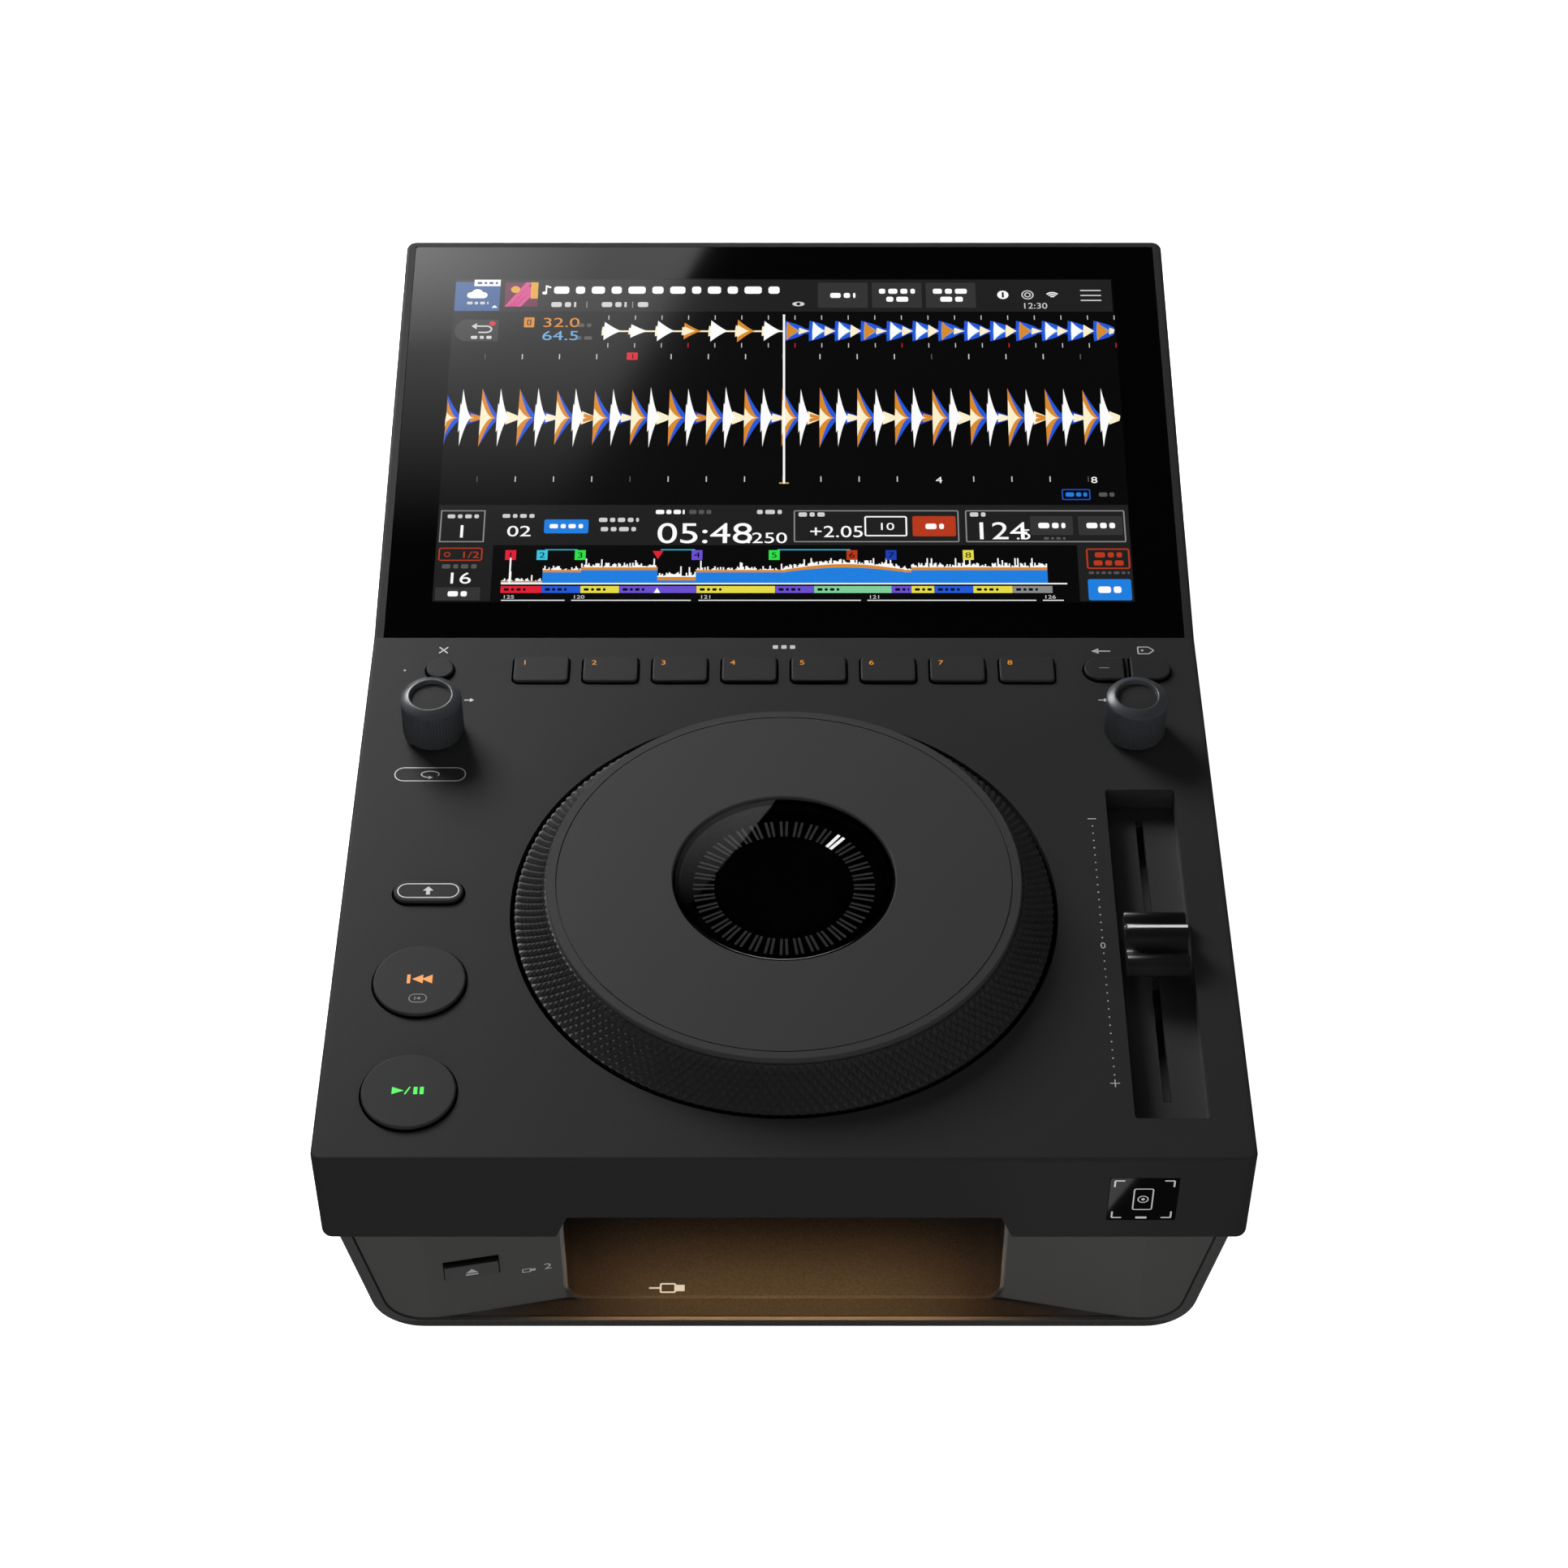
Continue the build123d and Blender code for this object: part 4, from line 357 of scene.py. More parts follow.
# painted highlight: the pale trim paint stands in for the light the bay edge catches; darker near the pocket
# floor
trim_highlight_paint = mottled("trim_paint_and_highlight", (0.14, 0.14, 0.135), 0.4, grain=0.3, bump=0.05, specular=0.1)
trim_foot = pocket_floor + 4.0
layered(trim_highlight_paint, step(trim_highlight_paint.node_tree, "Z", trim_foot + 2.0, trim_foot), (0.03, 0.03, 0.029))
for side in ("left", "right"):
    finishes[f"shaft_{side}"] = finishes["fader_lever"]
    finishes[f"rotor_{side}"] = mottled(f"rotor_acetal_{side}", (0.7, 0.7, 0.67), 0.45)
    finishes[f"encoder_{side}"] = finishes["fader_body"]
key_groups = (
    ("pad_satin", 0.028, [f"pad_{i + 1}" for i in range(8)]),
    ("small_key_satin", 0.026, ("shift_button", "delete_button", "back_button", "tag_button")),
    ("round_key_satin", 0.030, ("cue_button", "play_button")),
)
for coat_name, shade, keys in key_groups:
    coat = key_top_and_shaded_skirt(coat_name, (shade, shade, shade + 0.0004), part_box(keys[0])[1].z / MM)
    finishes.update(dict.fromkeys(keys, coat))
finishes["power_button"] = mottled("key_satin", (0.028, 0.028, 0.0284), 0.46, grain=0.3, bump=0.1,
                                   specular=0.06)
eject_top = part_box("eject_button")[1].z / MM
eject_finish_and_shade = mottled("eject_satin_and_shade", (0.075, 0.075, 0.074), 0.5, grain=0.3, bump=0.1, specular=0.1)
# painted shade: the top 2 mm of the eject key are black, for the shade in the gap along its top edge
layered(eject_finish_and_shade, step(eject_finish_and_shade.node_tree, "Z", eject_top - 2.4, eject_top - 2.0), grey(0.002))
finishes["eject_button"] = eject_finish_and_shade
boards = ("main_board", "pad_board", "deck_board", "usb_board", "reader_board")
finishes.update(dict.fromkeys(boards, circuit("board_green")))
socket_steel = metal("socket_steel", (0.55, 0.55, 0.57), 0.25)
finishes.update(dict.fromkeys(("usb_sockets", "network_socket"), socket_steel))
moulded = mottled("inner_moulding", grey(0.03), 0.55)
for name, node in nodes.items():
    node.data.materials.clear()
    node.data.materials.append(finishes.get(name, moulded))


# ---- flat graphics
class Print:
    """Flat marks of several colours on one surface, gathered into one piece.

    place(x, y, lift) turns a point of the drawing into a point of the model; flip is -1 where y
    runs down.
    """

    def __init__(self, name, place, body, lift=ink_lift, flip=1):
        self.name = name
        self.flip = flip
        self.place = place
        self.body = body
        self.lift = lift
        self.mesh = bmesh.new()
        self.inks = []

    def face(self, ink, points, layer=0):
        """One flat polygon; points run round it in either direction."""
        if ink not in self.inks:
            self.inks.append(ink)
        lift = self.lift + layer * layer_step
        corners = [self.mesh.verts.new(self.place(x, y, lift)) for x, y in points]
        face = self.mesh.faces.new(corners)
        face.material_index = self.inks.index(ink)

    def bar(self, ink, x0, y0, x1, y1, layer=0, radius=0.0):
        """Filled rectangle, with round corners if a radius is given."""
        self.face(ink, rounded(x0, y0, x1, y1, radius), layer)

    def loop(self, ink, outer, inner, layer=0):
        """Band between two outlines of as many points."""
        count = len(outer)
        for i in range(count):
            j = (i + 1) % count
            self.face(ink, (outer[i], outer[j], inner[j], inner[i]), layer)

    def box(self, ink, x0, y0, x1, y1, line, layer=0, radius=0.0):
        """Outlined rectangle."""
        inner = rounded(x0 + line, y0 + line, x1 - line, y1 - line, max(radius - line, 0.01 * line))
        self.loop(ink, rounded(x0, y0, x1, y1, max(radius, 0.01 * line)), inner, layer)

    def path(self, ink, points, width, layer=0):
        """Line of an even width through the points, one quad for each stretch."""
        for (xa, ya), (xb, yb) in zip(points, points[1:]):
            run = hypot(xb - xa, yb - ya)
            dx, dy = (yb - ya) / run * width / 2, -(xb - xa) / run * width / 2
            self.face(ink, ((xa + dx, ya + dy), (xb + dx, yb + dy), (xb - dx, yb - dy), (xa - dx, ya - dy)),
                      layer)

    def text(self, ink, words, x, y, height, layer=0, stretch=1.0, align="LEFT"):
        """Digits or a sign, with their lower edge at y."""
        curve = bpy.data.curves.new("letters", "FONT")
        curve.body = words
        curve.size = height / cap_share
        curve.align_x = align
        writer = bpy.data.objects.new("letters", curve)
        bpy.context.scene.collection.objects.link(writer)
        mesh = bpy.data.meshes.new_from_object(writer)
        for polygon in mesh.polygons:
            corners = [mesh.vertices[i].co for i in polygon.vertices]
            self.face(ink, [(x + c.x * stretch, y + c.y * self.flip) for c in corners], layer)
        bpy.data.objects.remove(writer)
        bpy.data.curves.remove(curve)
        bpy.data.meshes.remove(mesh)

    def finish(self):
        """Turn the marks into a piece that faces out of its surface."""
        normal = self.place(0, 0, 1) - self.place(0, 0, 0)
        self.mesh.normal_update()
        for face in self.mesh.faces:
            if face.normal.dot(normal) < 0:
                face.normal_flip()
        return new_piece(self.name, self.mesh, self.inks, self.body)


def new_piece(name, mesh, materials, body, node=None):
    """Piece made of a finished bmesh; it rides on a body, and may stand for a CAD node."""
    data = bpy.data.meshes.new(name)
    mesh.to_mesh(data)
    mesh.free()
    for material in materials:
        data.materials.append(material)
    piece = bpy.data.objects.new(name, data)
    bpy.context.scene.collection.objects.link(piece)
    if node:
        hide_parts(node)
    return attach(piece, body)


def arc_points(cx, cy, radius, start, end, steps=4):
    """Points along an arc, in degrees."""
    turns = [radians(start + (end - start) * i / steps) for i in range(steps + 1)]
    return [(cx + radius * cos(t), cy + radius * sin(t)) for t in turns]


def rounded(x0, y0, x1, y1, radius, steps=4):
    """Corner points of a rectangle, each corner an arc if the radius isn't zero."""
    if radius <= 0:
        return [(x0, y0), (x1, y0), (x1, y1), (x0, y1)]
    points = []
    centres = ((x1 - radius, y1 - radius, 0), (x0 + radius, y1 - radius, 90),
               (x0 + radius, y0 + radius, 180), (x1 - radius, y0 + radius, 270))
    for cx, cy, start in centres:
        points += arc_points(cx, cy, radius, start, start + 90, steps)
    return points


def disc(cx, cy, radius, count=24, squeeze=1.0):
    """Points of a circle, or of an ellipse if squeezed in Y."""
    return [
        (cx + radius * cos(2 * pi * i / count), cy + radius * squeeze * sin(2 * pi * i / count))
        for i in range(count)
    ]


# ---- knurled, fluted and moulded pieces
def solid_piece(name, mesh, material, body, node=None):
    """Closed piece of one material, with its faces turned outwards."""
    bmesh.ops.recalc_face_normals(mesh, faces=mesh.faces)
    return new_piece(name, mesh, [material], body, node)


def bridge(mesh, first, second):
    """Smooth band between two loops of as many corners."""
    for i in range(len(first)):
        j = (i + 1) % len(first)
        mesh.faces.new((first[i], first[j], second[j], second[i])).smooth = True


def turned(name, x, y, rings, count, material, body, node, flat=False, shut=True):
    """Turned piece round a vertical axis.

    Each ring is a function that gives the radius and height at a step of the turn. Rings are
    joined in order, the last to the first as well if shut; otherwise both ends are filled. A flat
    piece has sharp triangles.
    """
    mesh = bmesh.new()
    loops = []
    for ring in rings:
        loop = []
        for i in range(count):
            radius, height = ring(i)
            turn = 2 * pi * i / count
            loop.append(mesh.verts.new(deck_point(x + radius * cos(turn), y + radius * sin(turn), height)))
        loops.append(loop)
    pairs = list(zip(loops, loops[1:]))
    if shut:
        pairs.append((loops[-1], loops[0]))
    else:
        mesh.faces.new(loops[0])
        mesh.faces.new(loops[-1])
    for row, (low, high) in enumerate(pairs):
        if not flat:
            bridge(mesh, low, high)
            continue
        for i in range(count):
            j = (i + 1) % count
            if (i + row) % 2:
                mesh.faces.new((low[i], low[j], high[j]))
                mesh.faces.new((low[i], high[j], high[i]))
            else:
                mesh.faces.new((low[i], low[j], high[i]))
                mesh.faces.new((low[j], high[j], high[i]))
    return solid_piece(name, mesh, material, body, node)


def plain_ring(radius, height):
    """Ring of one radius and height."""
    return lambda i: (radius, height)


def knurled_ring():
    """Grip of the jog wheel: small diamonds over its slanted face."""
    diamonds = 180
    rows = 8
    depth = 0.75
    foot = (75.9, 0.2)
    shoulder = (67.2, 10.2)
    slant = hypot(shoulder[0] - foot[0], shoulder[1] - foot[1])
    out_r = (shoulder[1] - foot[1]) / slant
    out_z = (foot[0] - shoulder[0]) / slant

    def knurl_row(row):
        share = row / rows
        deep = depth * (0.5 if row in (0, rows) else 1.0)

        def at(i):
            sink = deep * ((i + row) % 2)
            radius = foot[0] + share * (shoulder[0] - foot[0]) - sink * out_r
            return radius, foot[1] + share * (shoulder[1] - foot[1]) - sink * out_z
        return at

    rings = [knurl_row(row) for row in range(rows + 1)]
    inside = ((66.6, 10.2), (60.2, 10.2), (60.2, 8.2), (65.6, 8.2), (71.5, 1.6), (71.5, -2.0), (75.4, -2.0))
    rings += [plain_ring(radius, height) for radius, height in inside]
    turned("knurled_ring", 0, jog_y, rings, 2 * diamonds, ring_finish, "jog_wheel", "jog_ring", flat=True)


def fluted_knob(side, x):
    """Knob with fine flutes, a bevelled rim and a dished top."""
    flutes = 60
    steps = 4
    deep = (0.0, 0.16, 0.30, 0.16)
    radius = 9.0

    def fluted(height, share):
        return lambda i: (radius - share * deep[i % steps], height)

    rings = [plain_ring(3.05, 11.5), plain_ring(3.05, 1.2), plain_ring(4.6, 1.2), plain_ring(4.6, 10.5),
             plain_ring(7.0, 10.5), plain_ring(7.0, 1.2), plain_ring(8.55, 1.2)]
    rings += [fluted(1.4, 1.0), fluted(12.6, 1.0), fluted(13.2, 0.6), fluted(13.5, 0.0)]
    bevel = ((9.0, 13.8), (8.93, 14.1), (8.7, 14.4), (7.6, 15.05), (6.9, 15.38), (6.6, 15.48))
    dish = ((6.35, 15.5), (6.12, 15.42), (6.0, 15.2), (5.95, 14.3), (5.8, 14.15), (5.2, 14.1), (2.5, 14.1))
    rings += [plain_ring(r, z) for r, z in bevel + dish]
    turned(f"fluted_knob_{side}", x, knob_y, rings, flutes * steps, knob_finish, f"knob_{side}_body",
           f"knob_{side}", shut=False)
    insert = Print(f"knob_insert_{side}", deck_point, f"knob_{side}_body", lift=14.2)
    middle = disc(x, knob_y, 5.5, 48)
    insert.face(knob_insert, middle)
    insert.loop(knob_insert, disc(x, knob_y, 5.85, 48), middle)
    insert.finish()


def cap_section():
    """Half outline of the fader cap, from the middle of its ridge down to its foot."""
    bend = 0.45
    points = [(0.0, cap_top)] + arc_points(1.3 - bend, cap_top - bend, bend, 90, 0, 3)
    points += [(1.5, 6.4), (1.75, 4.9)]
    for t in (0.12, 0.25, 0.4, 0.55, 0.7, 0.85):
        points.append((1.8 + 5.6 * t, 4.9 - 1.55 * sin(pi * t) - 0.15 * t))
    points.append((7.4, 4.62))
    points += arc_points(8.35, 3.55, 1.05, 95, 12, 5)
    for stair in range(3):
        points += [(9.5 + 0.42 * stair, 2.5 - stair), (9.72 + 0.42 * stair, 2.35 - stair)]
    points += [(cap_half, 0.2), (cap_half, cap_foot)]
    return points


def fader_cap():
    """Cap of the fader: ridge, two hollows, two rounded lobes and stepped feet, with bevelled ends."""
    half = cap_section()
    outline = half + [(-y, z) for y, z in reversed(half[1:])]
    middle = 75.3
    bevel = 0.3
    half_length = 8.7
    x = middle_of("fader_cap")[0]
    mesh = bmesh.new()
    loops = []
    inner = half_length - bevel
    for across, shrink in ((-half_length, 1), (-inner, 0), (inner, 0), (half_length, 1)):
        loops.append([
            mesh.verts.new(deck_point(
                x + across,
                middle + y * (1 - shrink * bevel / cap_half),
                max(z - shrink * bevel, cap_foot),
            ))
            for y, z in outline
        ])
    for first, second in zip(loops, loops[1:]):
        bridge(mesh, first, second)
    mesh.faces.new(loops[0])
    mesh.faces.new(loops[-1])
    for edge in mesh.edges:
        if len(edge.link_faces) == 2 and edge.calc_face_angle(0) > radians(38):
            edge.smooth = False
    solid_piece("moulded_fader_cap", mesh, cap_finish, "tempo_fader", "fader_cap")
    line = Print("cap_line", deck_point, "tempo_fader", lift=cap_top + ink_lift)
    line.bar(bright_ink, x - 8.3, middle - 0.5, x + 8.3, middle + 0.5)
    line.finish()


def rod(name, points, y, radius, material, body, sides=12):
    """Round bead that follows points (X, Z) in an upright plane at Y."""
    mesh = bmesh.new()
    loops = []
    for i, (x, z) in enumerate(points):
        xa, za = points[max(i - 1, 0)]
        xb, zb = points[min(i + 1, len(points) - 1)]
        run = hypot(xb - xa, zb - za)
        nx, nz = (zb - za) / run, -(xb - xa) / run
        loop = []
        for k in range(sides):
            turn = 2 * pi * k / sides
            out = radius * cos(turn)
            loop.append(mesh.verts.new(deck_point(x + out * nx, y + radius * sin(turn), z + out * nz)))
        loops.append(loop)
    for first, second in zip(loops, loops[1:]):
        bridge(mesh, first, second)
    mesh.faces.new(loops[0])
    mesh.faces.new(loops[-1])
    return solid_piece(name, mesh, material, body)


def bay_trim():
    """Rounded edge round the mouth of the bay, mostly sunk in the case; its pale paint is a painted highlight
    along the edge.
    """
    half, corner, radius = 61.2, 6.45, 0.7
    bottom = pocket_floor_z - 0.5
    points = [(-half, -25.6), (-half, bottom + corner)]
    points += arc_points(corner - half, bottom + corner, corner, 180, 270, 8)[1:]
    points += arc_points(half - corner, bottom + corner, corner, 270, 360, 8)
    points += [(half, -25.6)]
    rod("bay_trim", points, pocket_y + 0.3, radius, trim_highlight_paint, "chassis")


bright_ink = mottled("bright_ink", grey(0.86), 0.45, grain=0.2, bump=0.02, shade=0.03)
knurled_ring()
for side in ("left", "right"):
    fluted_knob(side, middle_of(f"knob_{side}")[0])
fader_cap()
bay_trim()


# ---- screen picture
def dots(name, code, strength=1.0):
    """Lit dots of one screen colour."""
    return glowing("dots_" + name, linear(code), strength)


black_dots = dots("black", "050505")
bar_grey = dots("bar_grey", "1f1f20")
tile_grey = dots("tile_grey", "343435")
line_grey = dots("line_grey", "8a8a8a")
faint = dots("faint", "555555")
white = dots("white", "ffffff")
soft_white = dots("soft_white", "d0d0d0")
cream = dots("cream", "fff1cf")
orange = dots("orange", "d98a2b")
blue = dots("blue", "2459d6")
deep_blue = dots("deep_blue", "1c3fb4")
sky = dots("sky", "1f7fe0")
pale_blue = dots("pale_blue", "6fa9d8")
slate = dots("slate", "3c5f96")
red = dots("red", "e02035")
brick = dots("brick", "b8391c")
pink = dots("pink", "d2508c")
plum = dots("plum", "6a2348")
gold = dots("gold", "e0a53a")
green = dots("green", "2fe04a")
cyan = dots("cyan", "3cc3e0")
violet = dots("violet", "6a4fd0")
yellow = dots("yellow", "e6dc4a")
mint = dots("mint", "7fcf9a")

random.seed(7)
screen = Print("screen_picture", panel_point, "chassis", flip=-1)
bar = screen.bar
box = screen.box
face = screen.face
loop = screen.loop
path = screen.path
text = screen.text
beat = 71.45
first_beat = 29.0
cursor_x = 640


def icon_note(x, y):
    """Small note sign."""
    path(white, ((x, y + 20), (x, y)), 3, 2)
    path(white, ((x, y + 1.5), (x + 9, y + 6)), 4, 2)
    face(white, disc(x - 3, y + 20, 5, 12, 0.8), 2)


def words(ink, x0, x1, y, height, layer=2, gap=5, seed=0):
    """Row of short plain bars that stands where a line of words would."""
    shares = (0.30, 0.18, 0.26, 0.20, 0.34, 0.22)
    x = x0
    i = seed
    while x < x1 - 2:
        length = min(shares[i % len(shares)] * 5.2 * height, x1 - x)
        bar(ink, x, y, x + length, y + height, layer, height * 0.3)
        x += length + gap
        i += 1


def top_bar():
    """Source tile, cover tile, title, buttons, clock and menu."""
    bar(bar_grey, 0, 2, 1278, 86, 1)
    bar(slate, 0, 8, 87, 84, 2)
    bar(white, 36, 2, 87, 19, 3)
    words(slate, 42, 82, 8, 6, 4, 4)
    for cx, cy, r in ((31, 43, 8), (43, 38, 11), (55, 43, 8)):
        face(white, disc(cx, cy, r, 16), 3)
    bar(white, 27, 43, 59, 51, 4, 3)
    words(soft_white, 24, 66, 60, 7, 3, 4)
    face(white, ((72, 76), (84, 76), (78, 69)), 3)
    bar(plum, 97, 9, 161, 73, 2)
    for i in range(3):
        top = 9 + 12 * i
        face(pink, ((97 + 8 * i, 73), (113 + 8 * i, 73), (149 + 4 * i, top), (137 + 4 * i, top)), 3)
    bar(gold, 147, 9, 161, 52, 4)
    face(gold, disc(117, 28, 9, 20), 4)
    icon_note(177, 17)
    words(white, 192, 640, 20, 19, 2, 13)
    for x0, x1 in ((188, 236), (286, 334), (356, 380)):
        words(soft_white, x0, x1, 61, 13, 2, 6)
    for x in (256, 345):
        bar(line_grey, x, 60, x + 2, 76, 2)
    face(soft_white, disc(668, 66, 12, 16, 0.5), 2)
    face(bar_grey, disc(668, 66, 4, 12), 3)
    for i, x0 in enumerate((706, 811, 916)):
        bar(tile_grey, x0, 10, x0 + 97, 76, 2, 2)
        if i == 0:
            words(white, x0 + 24, x0 + 73, 37, 13, 3, 6)
        else:
            words(white, x0 + 14, x0 + 84, 26, 13, 3, 6, i)
            words(white, x0 + 28, x0 + 72, 47, 13, 3, 6, i + 2)
    face(white, disc(1066, 42, 11, 20), 2)
    bar(bar_grey, 1064, 35, 1068, 49, 3)
    loop(soft_white, disc(1114, 42, 12, 20), disc(1114, 42, 9.5, 20), 2)
    loop(soft_white, disc(1114, 42, 6.5, 16), disc(1114, 42, 4, 16), 2)
    for r in (5, 10, 15):
        path(white, arc_points(1162, 51, r, -45, -135, 6), 3, 2)
    text(soft_white, "12:30", 1102, 78, 15, 2, 1.05)
    for y in (29, 42, 55):
        bar(soft_white, 1217, y, 1257, y + 3, 2)


def second_row():
    """Back tab, loop figures and the short wave of the whole phrase."""
    tab = [(26, 107)] + [(26 + 22 * cos(radians(a)), 135 - 28 * sin(radians(a))) for a in range(100, 261, 20)]
    face(tile_grey, tab + [(26, 163), (88, 163), (88, 107)], 1)
    hook = [(66 + 9 * cos(radians(a)), 132 - 8 * sin(radians(a))) for a in range(90, -91, -30)]
    path(soft_white, hook + [(50, 140)], 3.5, 2)
    path(soft_white, ((40, 124), (66, 124)), 3.5, 2)
    face(soft_white, ((36, 124), (46, 116), (46, 132)), 2)
    face(red, disc(76, 117, 6, 14), 2)
    words(soft_white, 36, 76, 149, 8)
    bar(orange, 137, 101, 157, 127, 1, 2)
    box(black_dots, 143, 107, 151, 121, 2, 2)
    text(orange, "32.0", 172, 126, 24, 1, 1.25)
    text(pale_blue, "64.5", 172, 160, 24, 1, 1.25)
    words(faint, 240, 270, 117, 9, 1)
    words(faint, 240, 270, 150, 9, 1, 5, 3)


def burst(ink, x, y, height, length, power, layer, lean=1.5, limit=(0, 1277)):
    """Struck note: it rises at once and dies away along a hollow curve, above and below y."""
    steps = 9
    upper = [(x, 0.0)] + [
        (x + lean + length * i / steps, height * (1 - i / steps) ** power) for i in range(steps + 1)
    ]
    upper = [(min(max(px, limit[0]), limit[1]), h) for px, h in upper]
    outline = [(px, y - h) for px, h in upper]
    outline += [(px - 1.5, y + h * 0.96) for px, h in reversed(upper[1:-1])]
    if upper[-1][0] - upper[0][0] > 1:
        face(ink, outline, layer)


def short_wave():
    """Wave of the phrase: pale up to the cursor, crowded and blue behind it."""
    middle = 137
    bar(cream, 290, middle - 2, cursor_x, middle + 2, 1)
    bar(deep_blue, cursor_x, middle - 7, 1278, middle + 7, 1)
    pitch = 51.5
    for i, height in enumerate((24, 18, 27, 22, 28, 30, 26)):
        x = 292 + i * pitch
        tint = orange if i in (3, 5) else white
        burst(cream, x - 4, middle, height * 0.5, 40, 1.1, 2)
        burst(tint, x, middle, height, 34, 1.3, 3)
        burst(cream if tint is orange else white, x, middle, height * 0.55, 22, 1.2, 4)
    limit = (cursor_x, 1278)
    for i in range(13):
        x = cursor_x + 4 + i * pitch * 0.97
        burst(blue, x - 6, middle, 27, 44, 0.5, 2, limit=limit)
        burst(pale_blue, x, middle, 22, 26, 1.0, 3, limit=limit)
        burst(white if i % 3 else orange, x + 1, middle, 25, 24, 1.5, 4, limit=limit)
        burst(cream, x + 24, middle, 9 + 4 * (i % 3), 20, 1.0, 3, limit=limit)
    for i in range(20):
        x = 300 + i * pitch
        for y in (96, 168):
            bar(red if i % 4 == 3 and y > 100 else soft_white, x, y, x + 1.6, y + 11, 2)


def long_wave():
    """Wave that runs past the cursor: white strokes, with orange and blue tails between them."""
    middle = 358
    bar(cream, 2, middle - 3, 1276, middle + 3, 1)
    for i in range(-1, 18):
        x = first_beat + i * beat
        tail = x + 0.49 * beat
        height = random.uniform(70, 77)
        burst(cream if i % 2 else deep_blue, x + 12, middle, 17, 30, 0.9, 2)
        burst(cream if i % 3 else orange, x + 16, middle, 11, 26, 0.8, 3)
        burst(blue, tail + 2, middle, height * 0.92, 36, 1.35, 3)
        burst(orange, tail, middle, height, 28, 1.9 if i % 2 else 1.5, 4)
        burst(cream, tail, middle, height * (0.62 if i % 2 == 0 else 0.34), 24, 2.0, 5)
        burst(white, x - 5, middle, height * 0.5, 30, 2.4, 5)
        burst(white, x - 3, middle, random.uniform(72, 78), 21, 1.9, 6, lean=3)
    for i in range(-1, 18):
        x = first_beat + 36 + i * beat
        if 20 < x < 1260:
            for y in (196, 502):
                bar(soft_white if i % 4 else faint, x, y, x + 2, y + 13, 1)
    bar(red, 338, 192, 359, 211, 2, 2)
    text(black_dots, "1", 344, 208, 13, 3, 1.2)
    for x, figure in ((930, "4"), (1220, "8")):
        bar(black_dots, x - 10, 498, x + 10, 518, 2)
        text(white, figure, x, 518, 15, 3, 1.2, "CENTER")
    bar(white, cursor_x - 2, 94, cursor_x + 2, 520, 7)
    bar(gold, cursor_x - 9, 517, cursor_x + 9, 520, 7)
    box(blue, 1158, 533, 1211, 559, 2, 1, 3)
    words(sky, 1165, 1205, 541, 10, 2, 4)
    words(faint, 1227, 1260, 541, 10, 1, 4)


def info_bar():
    """Player, track, modes, time, tempo and speed."""
    bar(bar_grey, -1, 571, 1279, 667, 1)
    box(line_grey, 3, 584, 86, 660, 2.5, 2)
    words(soft_white, 16, 74, 594, 9)
    text(white, "1", 44, 649, 30, 2, 1.2, "CENTER")
    words(soft_white, 118, 178, 593, 9)
    text(white, "02", 150, 646, 25, 2, 1.3, "CENTER")
    bar(sky, 196, 606, 278, 639, 2, 4)
    words(white, 206, 268, 617, 10, 3)
    words(soft_white, 297, 371, 602, 10)
    words(soft_white, 301, 366, 624, 10, 2, 5, 2)
    words(white, 402, 455, 583, 10, 2, 4)
    words(faint, 464, 505, 583, 10, 2, 4, 2)
    text(white, "05:48", 404, 662, 48, 2, 1.18)
    text(white, ".250", 570, 662, 25, 2, 1.25)
    words(soft_white, 590, 636, 583, 10, 2, 5, 3)
    box(line_grey, 658, 584, 964, 660, 2.5, 2, 3)
    words(soft_white, 667, 716, 589, 10)
    text(white, "+2.05", 686, 648, 27, 2, 1.15)
    box(white, 789, 598, 868, 646, 3, 2, 4)
    text(white, "10", 829, 631, 17, 3, 1.3, "CENTER")
    bar(brick, 878, 598, 958, 646, 2, 4)
    words(white, 902, 936, 616, 13, 3)
    box(line_grey, 976, 584, 1272, 660, 2.5, 2, 3)
    words(soft_white, 985, 1014, 589, 10)
    text(white, "124", 988, 653, 41, 2, 1.18)
    text(white, ".5", 1068, 653, 24, 2, 1.2)
    for x0, x1 in ((1096, 1175), (1185, 1267)):
        bar(tile_grey, x0, 598, x1, 643, 2, 3)
        words(white, x0 + 15, x1 - 14, 614, 13, 3)
    words(faint, 1120, 1160, 648, 6, 2, 4)


markers = (
    (137, red), (195, cyan), (265, green), (480, violet), (622, green), (765, brick),
    (837, deep_blue), (979, yellow),
)
phrases = (
    (122, red), (197, blue), (268, yellow), (339, violet), (480, yellow), (624, violet), (695, mint),
    (837, violet), (873, yellow), (915, blue), (986, yellow), (1058, line_grey), (1131, None),
)


def track_level(x):
    """Loudness along the track, 0 to 1, for the wave of the whole track."""
    if x < 195:
        return 0.12
    if 408 < x < 478:
        return 0.35
    if 265 < x < 408 or x > 873:
        return 0.72
    if 640 < x < 860:
        return 0.62 + 0.25 * sin((x - 640) / 220 * pi)
    return 0.6


